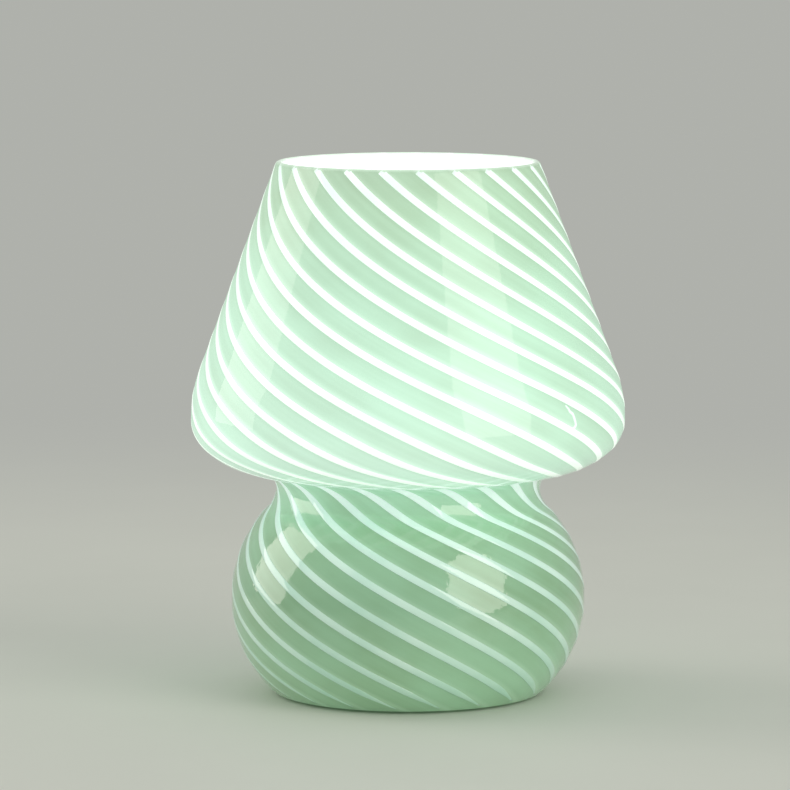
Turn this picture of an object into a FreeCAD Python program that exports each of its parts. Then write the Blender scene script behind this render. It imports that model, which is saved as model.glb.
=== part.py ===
import FreeCAD, Part

# Small mushroom table lamp of blown, swirled glass, lit by a screw-in bulb in its neck.
# Millimetres. +Z is up, the origin is the centre of the foot on the table, the front is -Y and
# the hole for the lead is at the back, towards +Y.

import itertools
import math
import os

import Sketcher
from FreeCAD import Placement, Rotation, Vector

UP = Vector(0, 0, 1)
doc = FreeCAD.newDocument("MushroomLamp")
sheet = doc.addObject("Spreadsheet::Sheet", "Sizes")


# --------------------------------------------------------------------------------------
# Driving dimensions
# --------------------------------------------------------------------------------------
DRIVING = [
    # the blown glass: heights are above its own foot
    ("glass_height", 182.8, "foot of the glass to its open rim"),
    ("glass_wall", 2.6, "thickness of the blown wall"),
    ("rim_radius", 45.0, "outside of the open rim at the top"),
    ("rim_rounding", 1.2, "fire-polished edge of the rim"),
    ("shade_radius", 74.6, "widest part of the shade"),
    ("shade_rise", 24.1, "widest part of the shade above the narrowest part of the neck"),
    ("shade_curve", 47.8, "arc from the widest part up into the cone"),
    ("edge_curve", 14.0, "tight arc under the widest part"),
    ("edge_turn", 48.6, "degrees that this tight arc turns inwards"),
    ("neck_curve", 6.0, "hollow curve from the underside into the neck"),
    ("neck_radius", 45.4, "narrowest part, between shade and base"),
    ("neck_height", 70.4, "height of the narrowest part"),
    ("neck_lower_curve", 10.0, "hollow curve from the neck out to the base"),
    ("base_radius", 60.9, "widest part of the base"),
    ("base_height", 32.5, "height of the widest part of the base"),
    ("base_lower_curve", 43.7, "arc from the widest part down to the foot"),
    ("foot_curve", 1.5, "small arc where the wall turns onto the foot"),
    ("punt_radius", 25.0, "hollow pushed up into the underside"),
    ("punt_depth", 1.2, "depth of that hollow"),
    # white canes fused onto the glass
    ("cane_count", 23, "white canes round the glass"),
    ("cane_width", 3.0, "width of one flattened cane"),
    ("cane_thickness", 0.35, "height of a cane at its middle"),
    ("cane_edge", 0.15, "height of a cane at its edges"),
    ("cane_gap", 0.05, "from the glass to the cane"),
    ("cane_phase", 3.4, "angle of the first cane at the rim, from the front"),
    ("twist_rate", 1.38, "degrees of twist per mm along the wall, at rim and foot"),
    ("twist_swell", 0.2, "extra degrees per mm half way down the wall"),
    ("cane_start", 1.8, "from the rim to the top end of a cane, along the wall"),
    ("cane_end", 3.0, "from the foot's edge to the lower end, along the wall"),
    ("cane_span", 3.6, "longest stretch of wall between two sections of a cane"),
    # clear pads under the foot
    ("pad_thickness", 0.8, "clear pad under the foot"),
    ("pad_radius", 4.5, "radius of a pad"),
    ("pad_count", 4, "pads"),
    ("pad_circle", 34.0, "circle on which the pads sit"),
    ("pad_turn", 45.0, "angle of the first pad"),
    # hole and grommet for the lead, low at the back
    ("lead_height", 18.0, "height of the lead's hole above the glass's foot"),
    ("lead_hole", 5.0, "radius of the hole in the glass"),
    ("lead_bore", 3.1, "radius of the grommet's bore"),
    ("grommet_flange", 7.0, "radius of the grommet's flanges"),
    ("grommet_lip", 1.4, "thickness of a flange"),
    ("grommet_slack", 0.65, "extra width of the grommet's groove for the curved wall"),
    # plate in the neck
    ("plate_thickness", 1.0, "enamelled steel plate"),
    ("plate_rise", 1.6, "underside of the plate above the narrowest part of the glass"),
    ("gasket_seat", 2.4, "where the gasket meets the glass, above the narrowest part"),
    ("gasket_ease", 0.35, "gasket inside the narrowest part, which it is pushed past"),
    ("gasket_flange", 1.0, "gasket above and below the plate"),
    ("gasket_wall", 1.8, "gasket outside the plate's edge"),
    ("gasket_grip", 2.8, "how far the gasket reaches in over the plate"),
    ("clip_count", 3, "spring clips under the plate"),
    ("clip_width", 8.0, "width of a spring clip"),
    ("clip_metal", 0.5, "thickness of the spring strip"),
    ("clip_length", 9.5, "flat part of a clip under the plate"),
    ("clip_clearance", 0.4, "between a clip and the inner edge of the gasket"),
    ("clip_step", 2.2, "how far the clip steps down past the gasket"),
    ("clip_grip", 6.2, "where the clip presses on the glass, below the plate"),
    ("clip_curl", 1.4, "turned-in end of the clip"),
    ("rivet_radius", 1.5, "shank of a rivet"),
    ("rivet_head", 2.8, "radius of a rivet's head"),
    ("rivet_height", 0.9, "height of a rivet's head"),
    # holder for the bulb
    ("sleeve_radius", 14.0, "outside of the holder's threaded sleeve"),
    ("sleeve_above", 16.5, "sleeve above the plate's underside"),
    ("sleeve_length", 36.0, "length of the sleeve"),
    ("sleeve_wall", 2.2, "wall of the sleeve"),
    ("sleeve_mouth", 8.8, "radius of the sleeve's mouth"),
    ("sleeve_lip", 2.0, "thickness of the lip round the mouth"),
    ("nut_flange", 21.0, "radius of a ring nut's flange"),
    ("nut_flange_thickness", 1.6, "flange of a ring nut"),
    ("nut_grip", 17.6, "radius of a ring nut's knurled collar"),
    ("nut_height", 6.0, "height of a ring nut"),
    ("cover_depth", 15.0, "closed cover below the sleeve"),
    ("cover_wall", 1.8, "wall of that cover"),
    ("cover_overlap", 7.0, "how far the cover comes up round the sleeve"),
    ("cover_bevel", 4.0, "slope round the cover's lower edge"),
    ("cover_entry", 5.0, "radius of the lead's entry in the cover"),
    ("cover_boss", 7.6, "radius of the boss round that entry"),
    ("cover_boss_height", 5.0, "height of that boss"),
    ("shell_metal", 0.4, "metal of the screw shell that takes the bulb"),
    ("shell_depth", 4.0, "top of the screw shell below the sleeve's top"),
    ("core_floor", 5.0, "floor of the insulating core under the shell"),
    ("tongue_width", 4.0, "width of the contact tongue"),
    ("tongue_metal", 0.4, "metal of the contact tongue"),
    ("tongue_rise", 2.4, "the bulb's tip above the core's floor"),
    ("tongue_foot", 5.0, "how far the tongue's foot reaches from the axis"),
    ("tongue_flat", 2.6, "flat foot of the tongue"),
    ("terminal_width", 5.0, "side of a terminal block"),
    ("terminal_height", 4.6, "height of a terminal block"),
    ("terminal_spacing", 13.0, "between the two terminal blocks"),
    ("terminal_screw", 1.4, "radius of a terminal screw"),
    ("terminal_wire", 1.2, "radius of the hole that takes a wire"),
    ("terminal_head", 2.1, "radius of a terminal screw's head"),
    ("terminal_head_height", 1.3, "height of that head"),
    # the bulb
    ("globe_radius", 22.5, "outside of the bulb's globe"),
    ("globe_wall", 1.2, "wall of the globe"),
    ("globe_rise", 32.0, "centre of the globe above the sleeve's top"),
    ("globe_mouth", 15.0, "radius at which the globe meets its housing"),
    ("housing_wall", 1.5, "wall of the bulb's housing"),
    ("housing_foot", 8.0, "radius of the housing where it enters the holder"),
    ("housing_neck", 1.2, "straight neck of the housing above the holder"),
    ("housing_rim", 2.5, "straight rim at the top of the housing"),
    ("spigot_length", 5.0, "collar of the housing inside the screw cap"),
    ("cap_radius", 6.9, "outside of the bulb's screw cap"),
    ("cap_metal", 0.35, "metal of the screw cap"),
    ("cap_height", 15.5, "height of the screw cap"),
    ("thread_pitch", 2.82, "rise of the screw cap's thread in one turn"),
    ("insulator_height", 2.6, "black insulator under the screw cap"),
    ("eyelet_radius", 2.4, "contact at the tip of the bulb"),
    ("eyelet_height", 1.0, "height of that contact"),
    ("board_thickness", 1.2, "round board that carries the light chips"),
    ("board_seat", 1.0, "ledge in the housing under the board"),
    ("chip_count", 10, "light chips"),
    ("chip_side", 2.8, "side of a chip"),
    ("chip_height", 0.7, "height of a chip"),
    ("chip_circle", 9.4, "circle of the chips"),
    ("driver_width", 9.4, "width of the driver's circuit board"),
    ("driver_height", 24.0, "height of the driver's circuit board"),
    ("driver_thickness", 1.2, "thickness of that board"),
    ("capacitor_radius", 2.8, "radius of the driver's capacitor"),
    ("capacitor_height", 8.0, "height of the capacitor"),
    # clearances
    ("fit", 0.1, "clearance between pieces that fit together"),
    ("rest_gap", 0.05, "clearance between pieces that lie on each other on curves"),
    ("free", 0.3, "clearance round the bulb, which turns"),
]

for row, (alias, value, note) in enumerate(DRIVING, start=1):
    sheet.set(f"A{row}", note)
    sheet.set(f"B{row}", str(value))
    sheet.setAlias(f"B{row}", alias)
doc.recompute()


class Size:
    """A number together with the sheet expression that gives it."""

    def __init__(self, value, text):
        self.value = value
        self.text = text

    def join(self, other, sign, result):
        text = other.text if isinstance(other, Size) else str(other)
        return Size(result(self.value, plain(other)), f"({self.text} {sign} {text})")

    def __add__(self, other):
        return self.join(other, "+", lambda a, b: a + b)

    def __sub__(self, other):
        return self.join(other, "-", lambda a, b: a - b)

    def __mul__(self, other):
        return self.join(other, "*", lambda a, b: a * b)

    def __truediv__(self, other):
        return self.join(other, "/", lambda a, b: a / b)


def plain(size):
    """The plain number in a Size, or the number itself."""
    return size.value if isinstance(size, Size) else size


def root(size):
    """Square root of a Size."""
    return Size(math.sqrt(size.value), f"sqrt({size.text})")


def smaller(first, second):
    """The smaller of two Sizes."""
    return Size(min(first.value, second.value), f"min({first.text}; {second.text})")


def sine(degrees):
    """Sine of a Size that is an angle."""
    return Size(math.sin(math.radians(degrees.value)), f"sin({degrees.text} * 1 deg)")


class Sizes:
    """Every driving dimension by its name, as a Size."""


S = Sizes()
for alias, value, note in DRIVING:
    setattr(S, alias, Size(float(sheet.get(alias)), f"Sizes.{alias}"))
ZERO = Size(0.0, "0")
THROUGH = 4  # a cut this many times as deep as its wall goes right through it


def bind(thing, prop, size):
    """Set a property and keep it bound to the sheet."""
    setattr(thing, prop, plain(size))
    if isinstance(size, Size):
        thing.setExpression(prop, size.text)


# --------------------------------------------------------------------------------------
# Sketches and bodies
# --------------------------------------------------------------------------------------
def new_body(label):
    body = doc.addObject("PartDesign::Body", label)
    body.Label = label
    return body


def new_sketch(body, plane="XZ_Plane", name="sketch"):
    """A sketch on one of the body's own origin planes."""
    sketch = body.newObject("Sketcher::SketchObject", f"{body.Name}_{name}")
    support = [face for face in body.Origin.OriginFeatures if face.Role == plane][0]
    sketch.AttachmentSupport = [(support, "")]
    sketch.MapMode = "FlatFace"
    return sketch


def offset_sketch(sketch, x=None, y=None, z=None):
    """Move a sketch in its own plane's axes, bound to the sheet."""
    moves = {"x": x, "y": y, "z": z}
    shift = Vector(*[plain(move or 0) for move in moves.values()])
    sketch.AttachmentOffset = Placement(shift, Rotation())
    for axis, size in moves.items():
        if size is not None:
            sketch.setExpression(f"AttachmentOffset.Base.{axis}", size.text)


def dimension(sketch, kind, geometry, point, size):
    """Hold a point of the sketch at a distance from its origin."""
    index = sketch.addConstraint(Sketcher.Constraint(kind, -1, 1, geometry, point, plain(size)))
    sketch.setExpression(f"Constraints[{index}]", size.text)


def outline_sketch(body, points, plane="XZ_Plane", name="sketch", closed=True):
    """Straight lines whose corners are bound to the sheet, closed into an outline or left open."""
    sketch = new_sketch(body, plane, name)
    corners = [Vector(plain(x), plain(y), 0) for x, y in points]
    if closed:
        corners.append(corners[0])
    for start, end in zip(corners, corners[1:]):
        sketch.addGeometry(Part.LineSegment(start, end), False)
    lines = sketch.GeometryCount
    for i in range(lines if closed else lines - 1):
        sketch.addConstraint(Sketcher.Constraint("Coincident", i, 2, (i + 1) % lines, 1))
    for i, (x, y) in enumerate(points):
        line, end = (i, 1) if i < lines else (i - 1, 2)
        dimension(sketch, "DistanceX", line, end, x)
        dimension(sketch, "DistanceY", line, end, y)
    return sketch


def circle_sketch(body, places, radius, plane="XY_Plane", name="circles"):
    """Circles of one bound radius at bound places."""
    sketch = new_sketch(body, plane, name)
    for x, y in places:
        index = sketch.addGeometry(Part.Circle(Vector(plain(x), plain(y), 0), UP, plain(radius)), False)
        dimension(sketch, "DistanceX", index, 3, x)
        dimension(sketch, "DistanceY", index, 3, y)
        ring = sketch.addConstraint(Sketcher.Constraint("Radius", index, plain(radius)))
        sketch.setExpression(f"Constraints[{ring}]", radius.text)
    return sketch


def rectangle(width, height, x=None, y=None):
    """Corners of a rectangle of bound sides about a bound centre."""
    x, y = x or ZERO, y or ZERO
    half_x, half_y = width / 2, height / 2
    return [(x - half_x, y - half_y), (x + half_x, y - half_y),
            (x + half_x, y + half_y), (x - half_x, y + half_y)]


def revolve(body, sketch):
    turn = body.newObject("PartDesign::Revolution", body.Name + "_turned")
    turn.Profile = sketch
    turn.ReferenceAxis = (sketch, ["V_Axis"])
    turn.Angle = 360
    return turn


def turned(label, points):
    """A body of revolution about Z from an outline of (radius, height) corners."""
    body = new_body(label)
    revolve(body, outline_sketch(body, points))
    return body


def padded(body, sketch, length, both_ways=False):
    pad = body.newObject("PartDesign::Pad", body.Name + "_pad")
    pad.Profile = sketch
    bind(pad, "Length", length)
    pad.Midplane = both_ways
    return pad


def cut_through(body, sketch, length, name="hole"):
    """A pocket of the given length, half of it to each side of the sketch."""
    pocket = body.newObject("PartDesign::Pocket", f"{body.Name}_{name}")
    pocket.Profile = sketch
    bind(pocket, "Length", length)
    pocket.Midplane = True
    return pocket


def repeat_about_z(body, feature, count):
    pattern = body.newObject("PartDesign::PolarPattern", body.Name + "_pattern")
    pattern.Originals = [feature]
    vertical = [axis for axis in body.Origin.OriginFeatures if axis.Role == "Z_Axis"][0]
    pattern.Axis = (vertical, [""])
    pattern.Angle = 360
    pattern.Occurrences = int(plain(count))
    pattern.setExpression("Occurrences", count.text)
    body.Tip = pattern
    return pattern


def bend_strip(body, path, width, metal):
    """A strip of sheet metal that follows an open path of (x, z) corners."""
    spine = outline_sketch(body, path, name="path", closed=False)
    start_x, start_z = path[0]
    section = outline_sketch(body, rectangle(width, metal, y=start_z), "YZ_Plane", "section")
    offset_sketch(section, z=start_x)
    doc.recompute()
    strip = body.newObject("PartDesign::AdditivePipe", body.Name + "_strip")
    strip.Profile = section
    strip.Spine = (spine, [])
    strip.Transition = "Right corner"
    return strip


def group(label, shapes):
    """Several separate solids as one sub-part."""
    feature = doc.addObject("Part::Feature", label)
    feature.Label = label
    feature.Shape = Part.makeCompound(shapes)
    return feature


def round_about_z(shape, count, first=0.0):
    """Copies of a shape, evenly spaced about the lamp's axis."""
    copies = []
    for i in range(count):
        copy = shape.copy()
        copy.rotate(Vector(), UP, first + i * 360.0 / count)
        copies.append(copy)
    return copies


# --------------------------------------------------------------------------------------
# The glass's outer line, from the rim down to the foot, as arcs and lines that run smoothly
# into each other. The sketch is drawn from it and the canes are laid along it.
# --------------------------------------------------------------------------------------
def from_centre(centre, radius, angle):
    return (centre[0] + radius * math.cos(angle), centre[1] + radius * math.sin(angle))


def touching_radius(centre, radius, turn, hollow_centre, hollow_radius):
    """Radius of the arc that carries an arc on from a given turn and just touches a hollow arc."""
    across = (centre[0] - hollow_centre[0], centre[1] - hollow_centre[1])
    along = across[0] * math.cos(turn) + across[1] * math.sin(turn)
    spare = math.hypot(*across) ** 2 + 2 * radius * along + radius ** 2 - hollow_radius ** 2
    return spare / (2 * (along + radius + hollow_radius))


def direction(start, end):
    return math.atan2(end[1] - start[1], end[0] - start[0])


def size_of(alias):
    return getattr(S, alias).value


shade_height = S.neck_height + S.shade_rise
edge_drop = S.edge_curve * sine(S.edge_turn)


def glass_line():
    """Lines ("line", start, end) and arcs ("arc", centre, radius, first, last) from rim to foot."""
    rim = (size_of("rim_radius"), size_of("glass_height"))
    shade_curve, edge_curve = size_of("shade_curve"), size_of("edge_curve")
    shade = (size_of("shade_radius") - shade_curve, plain(shade_height))
    cone = direction(shade, rim) - math.acos(shade_curve / math.dist(shade, rim))
    edge = (size_of("shade_radius") - edge_curve, plain(shade_height))
    edge_end = -math.radians(size_of("edge_turn"))
    neck_curve, lower_curve = size_of("neck_curve"), size_of("neck_lower_curve")
    upper = (size_of("neck_radius") + neck_curve, size_of("neck_height"))
    lower = (size_of("neck_radius") + lower_curve, size_of("neck_height"))
    under_curve = touching_radius(edge, edge_curve, edge_end, upper, neck_curve)
    under = from_centre(edge, edge_curve - under_curve, edge_end)
    widest = (size_of("base_radius"), size_of("base_height"))
    base_curve = touching_radius(widest, 0.0, 0.0, lower, lower_curve)
    base = (widest[0] - base_curve, widest[1])
    sole_curve, foot_curve = size_of("base_lower_curve"), size_of("foot_curve")
    sole = (widest[0] - sole_curve, widest[1])
    sole_end = -math.asin((widest[1] - foot_curve) / (sole_curve - foot_curve))
    foot = from_centre(sole, sole_curve - foot_curve, sole_end)
    under_end, base_start = direction(under, upper), direction(base, lower)
    return [
        ("line", rim, from_centre(shade, shade_curve, cone)),
        ("arc", shade, shade_curve, cone, 0.0),
        ("arc", edge, edge_curve, 0.0, edge_end),
        ("arc", under, under_curve, edge_end, under_end),
        ("arc", upper, neck_curve, under_end + math.pi, math.pi),
        ("arc", lower, lower_curve, math.pi, base_start + math.pi),
        ("arc", base, base_curve, base_start, 0.0),
        ("arc", sole, sole_curve, 0.0, sole_end),
        ("arc", foot, foot_curve, sole_end, -math.pi / 2),
    ]


GLASS_LINE = glass_line()


def segment_length(segment):
    if segment[0] == "line":
        return math.dist(segment[1], segment[2])
    return segment[2] * abs(segment[4] - segment[3])


def along_wall(distance):
    """Point (radius, height) on the outer line and its outward direction, so far from the rim."""
    for segment in GLASS_LINE:
        length = segment_length(segment)
        if distance <= length or segment is GLASS_LINE[-1]:
            break
        distance -= length
    share = distance / length
    if segment[0] == "line":
        start, end = segment[1], segment[2]
        point = tuple(a + share * (b - a) for a, b in zip(start, end))
        run = ((end[0] - start[0]) / length, (end[1] - start[1]) / length)
        return point, (-run[1], run[0])
    kind, centre, radius, first, last = segment
    angle = first + share * (last - first)
    hollow = 1.0 if last < first and abs(first) < math.pi / 2 else -1.0
    return from_centre(centre, radius, angle), (hollow * math.cos(angle), hollow * math.sin(angle))


WALL_LENGTH = sum(segment_length(segment) for segment in GLASS_LINE)
print(f"wall from rim to foot {WALL_LENGTH:.1f} mm")


# --------------------------------------------------------------------------------------
# Blown glass body: one turned wall, shade and base together
# --------------------------------------------------------------------------------------
def glass_sketch(body):
    """The outer line as a tangent chain, closed along the foot, the axis and the open top.
    Point 1 of a line or arc is its start, 2 its end and 3 its centre."""
    sketch = new_sketch(body)
    chain = []
    for segment in GLASS_LINE:
        if segment[0] == "line":
            start, end = Vector(*segment[1], 0), Vector(*segment[2], 0)
            chain.append((sketch.addGeometry(Part.LineSegment(start, end), False), 1, 2))
            continue
        kind, centre, radius, first, last = segment
        circle = Part.Circle(Vector(*centre, 0), UP, radius)
        if last > first:
            curve = Part.ArcOfCircle(circle, first, last)
            chain.append((sketch.addGeometry(curve, False), 1, 2))
        else:
            curve = Part.ArcOfCircle(circle, last, first)
            chain.append((sketch.addGeometry(curve, False), 2, 1))
    cone, shade, edge, under, upper, lower, base, sole, foot = chain
    rim_point = Vector(*GLASS_LINE[0][1], 0)
    foot_point = Vector(GLASS_LINE[-1][1][0], 0, 0)
    top_axis = Vector(0, rim_point.y, 0)
    bottom = sketch.addGeometry(Part.LineSegment(foot_point, Vector()), False)
    axis = sketch.addGeometry(Part.LineSegment(Vector(), top_axis), False)
    top = sketch.addGeometry(Part.LineSegment(top_axis, rim_point), False)

    def tie(kind, *where):
        sketch.addConstraint(Sketcher.Constraint(kind, *where))

    for before, after in zip(chain, chain[1:]):
        tie("Tangent", before[0], before[2], after[0], after[1])
    tie("Tangent", foot[0], foot[2], bottom, 1)
    tie("Coincident", bottom, 2, axis, 1)
    tie("Coincident", axis, 2, top, 1)
    tie("Coincident", top, 2, cone[0], cone[1])
    tie("Coincident", axis, 1, -1, 1)
    tie("Vertical", axis)
    tie("Horizontal", top)
    tie("Horizontal", bottom)
    radii = [(shade, S.shade_curve), (edge, S.edge_curve), (upper, S.neck_curve),
             (lower, S.neck_lower_curve), (sole, S.base_lower_curve), (foot, S.foot_curve)]
    for arc, size in radii:
        index = sketch.addConstraint(Sketcher.Constraint("Radius", arc[0], plain(size)))
        sketch.setExpression(f"Constraints[{index}]", size.text)
    dimension(sketch, "DistanceX", cone[0], cone[1], S.rim_radius)
    dimension(sketch, "DistanceY", cone[0], cone[1], S.glass_height)
    dimension(sketch, "DistanceX", shade[0], shade[2], S.shade_radius)
    dimension(sketch, "DistanceY", shade[0], shade[2], shade_height)
    dimension(sketch, "DistanceY", shade[0], 3, shade_height)
    dimension(sketch, "DistanceY", edge[0], edge[2], shade_height - edge_drop)
    dimension(sketch, "DistanceX", upper[0], upper[2], S.neck_radius)
    dimension(sketch, "DistanceY", upper[0], upper[2], S.neck_height)
    dimension(sketch, "DistanceY", upper[0], 3, S.neck_height)
    dimension(sketch, "DistanceX", base[0], base[2], S.base_radius)
    dimension(sketch, "DistanceY", base[0], base[2], S.base_height)
    dimension(sketch, "DistanceY", base[0], 3, S.base_height)
    return sketch


def make_glass():
    body = new_body("glass_body")
    revolve(body, glass_sketch(body))
    doc.recompute()
    solid = body.Tip
    top_face = max(range(len(solid.Shape.Faces)), key=lambda i: solid.Shape.Faces[i].CenterOfMass.z)
    wall = body.newObject("PartDesign::Thickness", "glass_wall_thickness")
    wall.Base = (solid, [f"Face{top_face + 1}"])
    bind(wall, "Value", S.glass_wall)
    wall.Reversed = True
    wall.Join = "Intersection"
    doc.recompute()
    rim_edges = [f"Edge{i + 1}" for i, edge in enumerate(wall.Shape.Edges)
                 if edge.BoundBox.ZMin > size_of("glass_height") - size_of("rest_gap")]
    polish = body.newObject("PartDesign::Fillet", "fire_polished_rim")
    polish.Base = (wall, rim_edges)
    bind(polish, "Radius", smaller(S.rim_rounding, S.glass_wall / 2 - S.fit))
    doc.recompute()
    cut_punt(body)
    cut_lead_hole(body)
    bind_height(body, foot)
    return body


def bind_height(body, size):
    """Stand a body at a bound height."""
    body.Placement = Placement(Vector(0, 0, plain(size)), Rotation())
    body.setExpression("Placement.Base.z", size.text)


def cut_punt(body):
    """The shallow hollow under the foot, a spherical cap."""
    sphere = (S.punt_radius * S.punt_radius + S.punt_depth * S.punt_depth) / (S.punt_depth * 2)
    sketch = new_sketch(body, name="punt")
    centre = S.punt_depth - sphere
    middle = Vector(0, plain(centre), 0)
    start = math.atan2(-plain(centre), size_of("punt_radius"))
    circle = Part.Circle(middle, UP, plain(sphere))
    arc = sketch.addGeometry(Part.ArcOfCircle(circle, start, math.pi / 2), False)
    apex, edge = Vector(0, size_of("punt_depth"), 0), Vector(size_of("punt_radius"), 0, 0)
    axis = sketch.addGeometry(Part.LineSegment(apex, Vector()), False)
    sole = sketch.addGeometry(Part.LineSegment(Vector(), edge), False)
    for pair in ((arc, 2, axis, 1), (axis, 2, sole, 1), (sole, 2, arc, 1), (axis, 2, -1, 1)):
        sketch.addConstraint(Sketcher.Constraint("Coincident", *pair))
    sketch.addConstraint(Sketcher.Constraint("Vertical", axis))
    sketch.addConstraint(Sketcher.Constraint("Horizontal", sole))
    dimension(sketch, "DistanceX", sole, 2, S.punt_radius)
    dimension(sketch, "DistanceY", axis, 1, S.punt_depth)
    dimension(sketch, "DistanceY", arc, 3, centre)
    groove = body.newObject("PartDesign::Groove", "glass_punt")
    groove.Profile = sketch
    groove.ReferenceAxis = (sketch, ["V_Axis"])
    groove.Angle = 360
    doc.recompute()


# The lead's hole runs square through the wall of the base, so it points a little downwards.
lead_drop = S.base_height - S.lead_height
lead_tilt = Size(math.degrees(math.asin(plain(lead_drop / S.base_lower_curve))),
                 f"asin({(lead_drop / S.base_lower_curve).text})")
lead_reach = (S.base_radius - S.base_lower_curve
              + root(S.base_lower_curve * S.base_lower_curve - lead_drop * lead_drop))


def cut_lead_hole(body):
    sketch = circle_sketch(body, [(ZERO, ZERO)], S.lead_hole, "XZ_Plane", "lead")
    turn = Rotation(Vector(-1, 0, 0), plain(lead_tilt))
    sketch.AttachmentOffset = Placement(Vector(0, size_of("lead_height"), -plain(lead_reach)), turn)
    sketch.setExpression("AttachmentOffset.Base.y", S.lead_height.text)
    sketch.setExpression("AttachmentOffset.Base.z", (ZERO - lead_reach).text)
    sketch.setExpression("AttachmentOffset.Rotation.Angle", lead_tilt.text)
    doc.recompute()
    before = body.Shape.Volume
    cut_through(body, sketch, S.glass_wall * THROUGH, "lead_hole")
    doc.recompute()
    if body.Shape.Volume >= before:
        raise ValueError("the lead's hole cuts nothing")


foot = S.pad_thickness
glass = make_glass()


# --------------------------------------------------------------------------------------
# White canes: flat ribbons that follow the swirl down the outside of the glass
# --------------------------------------------------------------------------------------
def twist(distance):
    """Degrees turned between the rim and a point so far down the wall."""
    swell = size_of("twist_swell") * WALL_LENGTH / math.pi
    share = math.pi * distance / WALL_LENGTH
    return size_of("twist_rate") * distance + swell * (1 - math.cos(share))


def twist_slope(distance):
    """Degrees turned per mm of wall, there."""
    share = math.pi * distance / WALL_LENGTH
    return size_of("twist_rate") + size_of("twist_swell") * math.sin(share)


def on_glass(distance, angle, lift):
    """Point on the glass: mm down the wall, degrees from the front, mm off the surface."""
    (radius, height), (out, up) = along_wall(distance)
    turn = math.radians(angle)
    reach = radius + lift * out
    return Vector(reach * math.sin(turn), -reach * math.cos(turn), height + plain(foot) + lift * up)


def cane_section(distance):
    """Flat six-sided section of a cane, square to its run."""
    angle = size_of("cane_phase") + twist(distance)
    (radius, height), (out, up) = along_wall(distance)
    slope = math.radians(twist_slope(distance)) * radius
    down, around = 1 / math.hypot(1, slope), slope / math.hypot(1, slope)
    turn = math.radians(angle)
    downhill = Vector(up * math.sin(turn), -up * math.cos(turn), -out)
    run = downhill * down + Vector(math.cos(turn), math.sin(turn), 0) * around
    middle = on_glass(distance, angle, 0)
    half = size_of("cane_width") / 2
    low = size_of("cane_gap")
    edge, crown = low + size_of("cane_edge"), low + size_of("cane_thickness")
    corners = [(-half, low), (0, low), (half, low), (half, edge), (0, crown), (-half, edge)]
    section = []
    for aside, lift in corners:
        turned_by = math.degrees(aside * down / radius)
        corner = on_glass(distance - aside * around, angle + turned_by, lift)
        section.append(corner - run * (corner - middle).dot(run))
    return section


def evenly(start, end, span):
    """Distances from start to end, evenly spaced and no further apart than the span."""
    spans = math.ceil((end - start) / span)
    return [start + (end - start) * i / spans for i in range(spans + 1)]


def ribbon(start, end):
    """The first cane, from one distance down the wall to another."""
    wires = []
    for distance in evenly(start, end, size_of("cane_span")):
        corners = cane_section(distance)
        wires.append(Part.makePolygon(corners + corners[:1]))
    return Part.makeLoft(wires, True, False)


def cane_stretches(turn):
    """Where the cane that is turned so far runs clear of the grommet, as (start, end)."""
    room = size_of("grommet_flange") + size_of("fit") + size_of("cane_width") / 2

    def is_clear(distance):
        angle = size_of("cane_phase") + turn + twist(distance)
        return (on_glass(distance, angle, 0) - lead_point).Length > room

    start, end = size_of("cane_start"), WALL_LENGTH - size_of("cane_end")
    for clear, run in itertools.groupby(evenly(start, end, size_of("cane_edge")), key=is_clear):
        run = list(run)
        if clear and run[-1] - run[0] > size_of("cane_width"):
            yield run[0], run[-1]


def make_canes():
    count = int(size_of("cane_count"))
    ribbons, canes = {}, []
    for turn in [index * 360 / count for index in range(count)]:
        for stretch in cane_stretches(turn):
            if stretch not in ribbons:
                ribbons[stretch] = ribbon(*stretch)
            cane = ribbons[stretch].copy()
            cane.rotate(Vector(), UP, turn)
            canes.append(cane)
    return group("white_canes", canes)


lead_angle = math.radians(plain(lead_tilt))
lead_out = Vector(0, math.cos(lead_angle), -math.sin(lead_angle))
lead_point = Vector(0, plain(lead_reach), plain(S.lead_height + foot))
canes = make_canes()


# --------------------------------------------------------------------------------------
# Clear pads under the foot, and the rubber grommet in the lead's hole
# --------------------------------------------------------------------------------------
one_pad = doc.addObject("Part::Cylinder", "one_pad")
bind(one_pad, "Radius", S.pad_radius)
bind(one_pad, "Height", S.pad_thickness)
doc.recompute()
pad_shape = one_pad.Shape.copy()
pad_shape.translate(Vector(size_of("pad_circle"), 0, 0))
pad_shapes = round_about_z(pad_shape, int(size_of("pad_count")), size_of("pad_turn"))
pads = group("foot_pads", pad_shapes)

groove_in = ZERO - S.glass_wall - S.grommet_slack - S.rest_gap
grommet = turned("cord_grommet", [
    (S.lead_bore, groove_in - S.grommet_lip),
    (S.grommet_flange - S.grommet_lip / 2, groove_in - S.grommet_lip),
    (S.grommet_flange, groove_in - S.grommet_lip / 2),
    (S.grommet_flange, groove_in),
    (S.lead_hole - S.fit, groove_in),
    (S.lead_hole - S.fit, S.rest_gap),
    (S.grommet_flange, S.rest_gap),
    (S.grommet_flange, S.rest_gap + S.grommet_lip / 2),
    (S.grommet_flange - S.grommet_lip / 2, S.rest_gap + S.grommet_lip),
    (S.lead_bore, S.rest_gap + S.grommet_lip),
])
grommet.Placement = Placement(lead_point, Rotation(UP, lead_out))

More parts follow.
